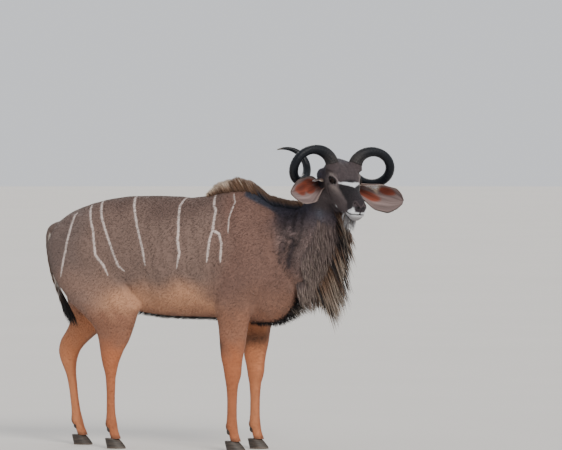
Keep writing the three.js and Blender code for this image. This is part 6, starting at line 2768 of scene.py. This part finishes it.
@dataclass
class Eyes:
    """Eyeballs with their cornea, and the lids round them.

    Each row of the lids' profile is a ring's scale, its lift and how far it follows the skin.
    """

    wide: float = 18.5
    high: float = 10.5
    steps: int = 64
    profile: tuple = (
        (0.97, -2.5, 0), (1.0, 0.2, 0), (1.04, 1.6, 0), (1.12, 2.6, 0.02), (1.22, 2.4, 0.08),
        (1.32, 1.2, 0.3), (1.48, 1.8, 0.62), (1.7, 1.4, 0.9), (1.95, 0.3, 1), (2.2, -1.6, 1),
    )

    def globe(self, side: int) -> Shell:
        """Builds an eyeball, bulged a little at the cornea.

        Args:
            side: 1 for the left side, -1 for the right.

        Returns:
            The eyeball.
        """
        along, up, look, middle = eye_axes(side)
        made = ball((0, 0, 0), (1, 1, 1), 48, 40)
        unit_points = unit(made.points)
        reach = EYE_RADIUS * (1 + 0.05 * np.exp(-(((1 - unit_points[:, 2]) / 0.1) ** 2)))
        local = unit_points * reach[:, None]
        head = middle + local @ np.stack([along, up, look], axis=0)
        made.points = BODY.head_to_body(head)
        gaze = unit_points.copy()
        gaze[:, 2] = np.maximum(0, -unit_points[:, 2])
        made.values["gaze"] = gaze
        return made

    def lids(self, side: int, hide: Hide) -> Shell:
        """Builds the lids: a rim that leaves the eyeball, rises and runs into the skin.

        Args:
            side: 1 for the left side, -1 for the right.
            hide: the skin.

        Returns:
            The lids with their tints.
        """
        along, up, look, middle = eye_axes(side)
        steps = self.steps
        angle = np.arange(steps) * TURN / steps
        cos, sin = np.cos(angle), np.sin(angle)
        shape_x = np.where(cos > 0, 1.12, 1.0) * cos
        shape_y = np.sign(sin) * np.abs(sin) ** 0.9 * np.where(sin > 0, 1.05, 0.95)
        rings = []
        for scale, lift, to_skin in self.profile:
            flat_x = shape_x * self.wide * scale
            flat_y = shape_y * self.high * scale * (1 + 0.12 * (scale > 1.3))
            out = np.sqrt(np.maximum(EYE_RADIUS**2 - flat_x**2 - flat_y**2, 30))
            start = middle + flat_x[:, None] * along + flat_y[:, None] * up
            skin = self.skin_height(start, look, hide, out)
            height = out * (1 - to_skin) + skin * to_skin + lift
            rings.append(start + height[:, None] * look)
        rings = BODY.head_to_body(np.array(rings))
        back = rings[::-1] - 3.0 * BODY.head_way(look)
        whole = np.concatenate([rings, back[1:-1]])
        made = loft(whole, closed=True)
        shade = np.repeat([row[0] for row in self.profile] + [1.0] * (len(self.profile) - 2), steps)
        tint = np.tile(Tint.LID.linear, (len(shade), 1))
        made.values["coat_tint"] = blend(tint, Tint.CHEEK, smoothstep(1.4, 1.7, shade))
        made.values["stripe_gap"] = np.full(len(shade), NO_STRIPE)
        return made

    @staticmethod
    def skin_height(start: Array, look: Array, hide: Hide, fallback: Array) -> Array:
        """Finds how far along the look the skin lies.

        Args:
            start: places over the eye.
            look: the looking direction.
            hide: the skin.
            fallback: the heights where no skin is met.

        Returns:
            The height over each place.
        """
        heights = []
        way = Vector(BODY.head_way(look))
        for point, spare in zip(BODY.to_row(BODY.head_to_body(start)), fallback):
            spot, _, _, _ = hide.tree.ray_cast(Vector(point) + way * 0.06, -way, 0.08)
            heights.append((spot - Vector(point)).dot(way) / MM if spot else spare)
        return np.array(heights)

    def build(self, hide: Hide) -> None:
        """Makes both eyes and their lids.

        Args:
            hide: the skin.
        """
        for label, side in SIDES:
            obj = make_object(f"eyeball_{label}", self.globe(side))
            obj.data.materials.append(EYE_FINISH.material())
            finish_piece(obj, "eye", f"eye_{label}")
            obj = make_object(f"eyelids_{label}", self.lids(side, hide))
            mesh = obj.data
            store_values(mesh, {"flat_place": read_points(mesh) * 2})
            uv_from_points(mesh, "coat_uv")
            mesh.materials.append(HIDE.material())
            finish_piece(obj, "face_coat")


@dataclass
class Hooves:
    """Cloven hooves and dew claws."""

    sides: int = 48
    rows: tuple = ((0, 0.97, 0), (2, 1.0, 0), (26, 0.9, -8), (46, 0.76, -17), (HOOF_HEIGHT, 0.70, -20))
    rings: int = 14
    narrowing: float = 0.62
    inner_share: float = 0.12
    heel_share: float = 0.3
    front_foot: tuple = (8, 2)
    hind_foot: tuple = (304, 3)
    forward: float = 12
    spur_at: tuple = (-3, 17, 101)
    spur_radii: tuple = (12, 8.5, 18)

    def claw(self, x: float, y: float, outer_side: int) -> Shell:
        """Builds one claw with its flat sole on the ground.

        Args:
            x: its place along X.
            y: its place along Y.
            outer_side: the side that its outer wall faces.

        Returns:
            The claw.
        """
        heights = np.concatenate([[0, 2], np.linspace(5, HOOF_HEIGHT, self.rings)])
        _, scale, lean = Stations(list(self.rows)).at(heights)
        angle = np.arange(self.sides) * TURN / self.sides
        along = 0.5 * (1 + np.cos(angle))
        width = HOOF_WIDTH * (1 - self.narrowing * along**3) * np.abs(np.sin(angle)) ** 0.8
        sign = np.sign(np.sin(angle))
        across = sign * width * np.where(sign == outer_side, 1.0, self.inner_share)
        ring_x = x + lean[:, None] + ((along - self.heel_share) * HOOF_LENGTH)[None] * scale[:, None]
        ring_y = y + across[None] * scale[:, None]
        ring_z = np.repeat(heights[:, None], self.sides, axis=1)
        return loft(np.stack([ring_x, ring_y, ring_z], axis=2))

    def build(self) -> None:
        """Makes the eight claws, a pair to a foot, and the dew claws."""
        material = HOOF_FINISH.material()
        spurs = None
        for pair in ("front", "hind"):
            for label, _ in SIDES:
                front = pair == "front"
                x0, y0 = (FRONT_LEGS if front else HIND_LEGS)[label]
                rearward, inward = self.front_foot if front else self.hind_foot
                x, y = x0 - rearward, y0 - np.sign(y0) * inward
                foot = self.claw(x + self.forward, y - HOOF_SPREAD, -1)
                foot = foot.plus(self.claw(x + self.forward, y + HOOF_SPREAD, 1))
                obj = make_object(f"{pair}_hoof_{label}_pair", foot)
                obj.data.materials.append(material)
                nodes = [f"{pair}_hoof_{label}_{s}_claw" for s in ("right", "left")]
                finish_piece(obj, "hoof", *nodes)
                for side in (-1, 1):
                    along, aside, high = self.spur_at
                    spur = ball((x + along, y + side * aside, high), self.spur_radii, 20, 14)
                    spurs = spur if spurs is None else spurs.plus(spur)
        obj = make_object("dew_claws", spurs)
        obj.data.materials.append(material)
        finish_piece(obj, "hoof")


@dataclass
class Studio:
    """Floor, light and the camera at the photograph's angle."""

    azimuth: float = 20.0
    elevation: float = 1.5
    distance: float = 28.0
    pixel: float = 0.0051
    picture: tuple = (562, 450)
    middle: tuple = (520.6, 215.1, 1137.4)
    sensor: float = 36.0
    seen: tuple = (0.5, 300.0)
    floor_radius: float = 70.0
    floor_sides: int = 96
    lamps_aim: tuple = (0, 0, 0.9)
    sky: tuple = (0.86, 0.88, 0.92, 1)
    sky_power: float = 0.95
    suns: tuple = (
        ("key", (4.2, -4.6, 4.6), 2.5, 20.0, (1.0, 0.95, 0.88)),
        ("back", (-2.0, 5.5, 4.5), 1.0, 30.0, (1.0, 0.96, 0.9)),
    )

    def floor(self) -> None:
        """Makes the floor."""
        mesh = bpy.data.meshes.new("floor")
        angles = np.arange(self.floor_sides) * TURN / self.floor_sides
        around = [(self.floor_radius * math.cos(a), self.floor_radius * math.sin(a), 0) for a in angles]
        mesh.from_pydata(around, [], [tuple(range(self.floor_sides))])
        obj = placed("floor", mesh)
        mesh.materials.append(FLOOR_FINISH.material())

    def camera(self) -> None:
        """Places the camera."""
        a, e = math.radians(self.azimuth), math.radians(self.elevation)
        back = Vector((math.sin(a) * math.cos(e), -math.cos(a) * math.cos(e), math.sin(e)))
        data = bpy.data.cameras.new("camera")
        data.sensor_width = self.sensor
        data.lens = data.sensor_width * self.distance / (self.picture[0] * self.pixel)
        data.clip_start, data.clip_end = self.seen
        camera = placed("camera", data)
        camera.location = Vector(BODY.to_row(self.middle)) + back * self.distance
        camera.rotation_mode = "QUATERNION"
        camera.rotation_quaternion = (-back).to_track_quat("-Z", "Y")
        bpy.context.scene.camera = camera

    def sun(self, name: str, place: tuple, power: float, softness: float, tint: tuple) -> None:
        """Adds a soft distant lamp that shines towards the animal.

        Args:
            name: its name.
            place: where it shines from.
            power: its strength.
            softness: its angle in degrees.
            tint: its colour.
        """
        data = bpy.data.lights.new(name, "SUN")
        data.energy, data.angle, data.color = power, math.radians(softness), tint
        lamp = placed(name, data)
        lamp.location = place
        lamp.rotation_mode = "QUATERNION"
        lamp.rotation_quaternion = (Vector(self.lamps_aim) - Vector(place)).to_track_quat("-Z", "Y")

    def build(self) -> None:
        """Sets the studio up."""
        self.floor()
        self.camera()
        world = bpy.data.worlds.new("studio")
        world.use_nodes = True
        light = world.node_tree.nodes["Background"]
        light.inputs[0].default_value, light.inputs[1].default_value = self.sky, self.sky_power
        bpy.context.scene.world = world
        for lamp in self.suns:
            self.sun(*lamp)


def main() -> None:
    """Builds the sub-assemblies in order."""
    logging.basicConfig(level=logging.INFO, format="%(name)s %(message)s")
    Studio().build()
    hide = Hide()
    hide.build()
    Horns().build()
    Ears().build()
    Eyes().build(hide)
    Hooves().build()
    Coat(hide).build()
    LongHair(hide).build()
    fleshy = [n for n in frame["nodes"] if n.startswith(("torso", "neck", "head", "tail")) or "_leg_" in n]
    finish_piece(hide.obj, "body_coat", *fleshy)


if __name__ == "__main__":
    main()
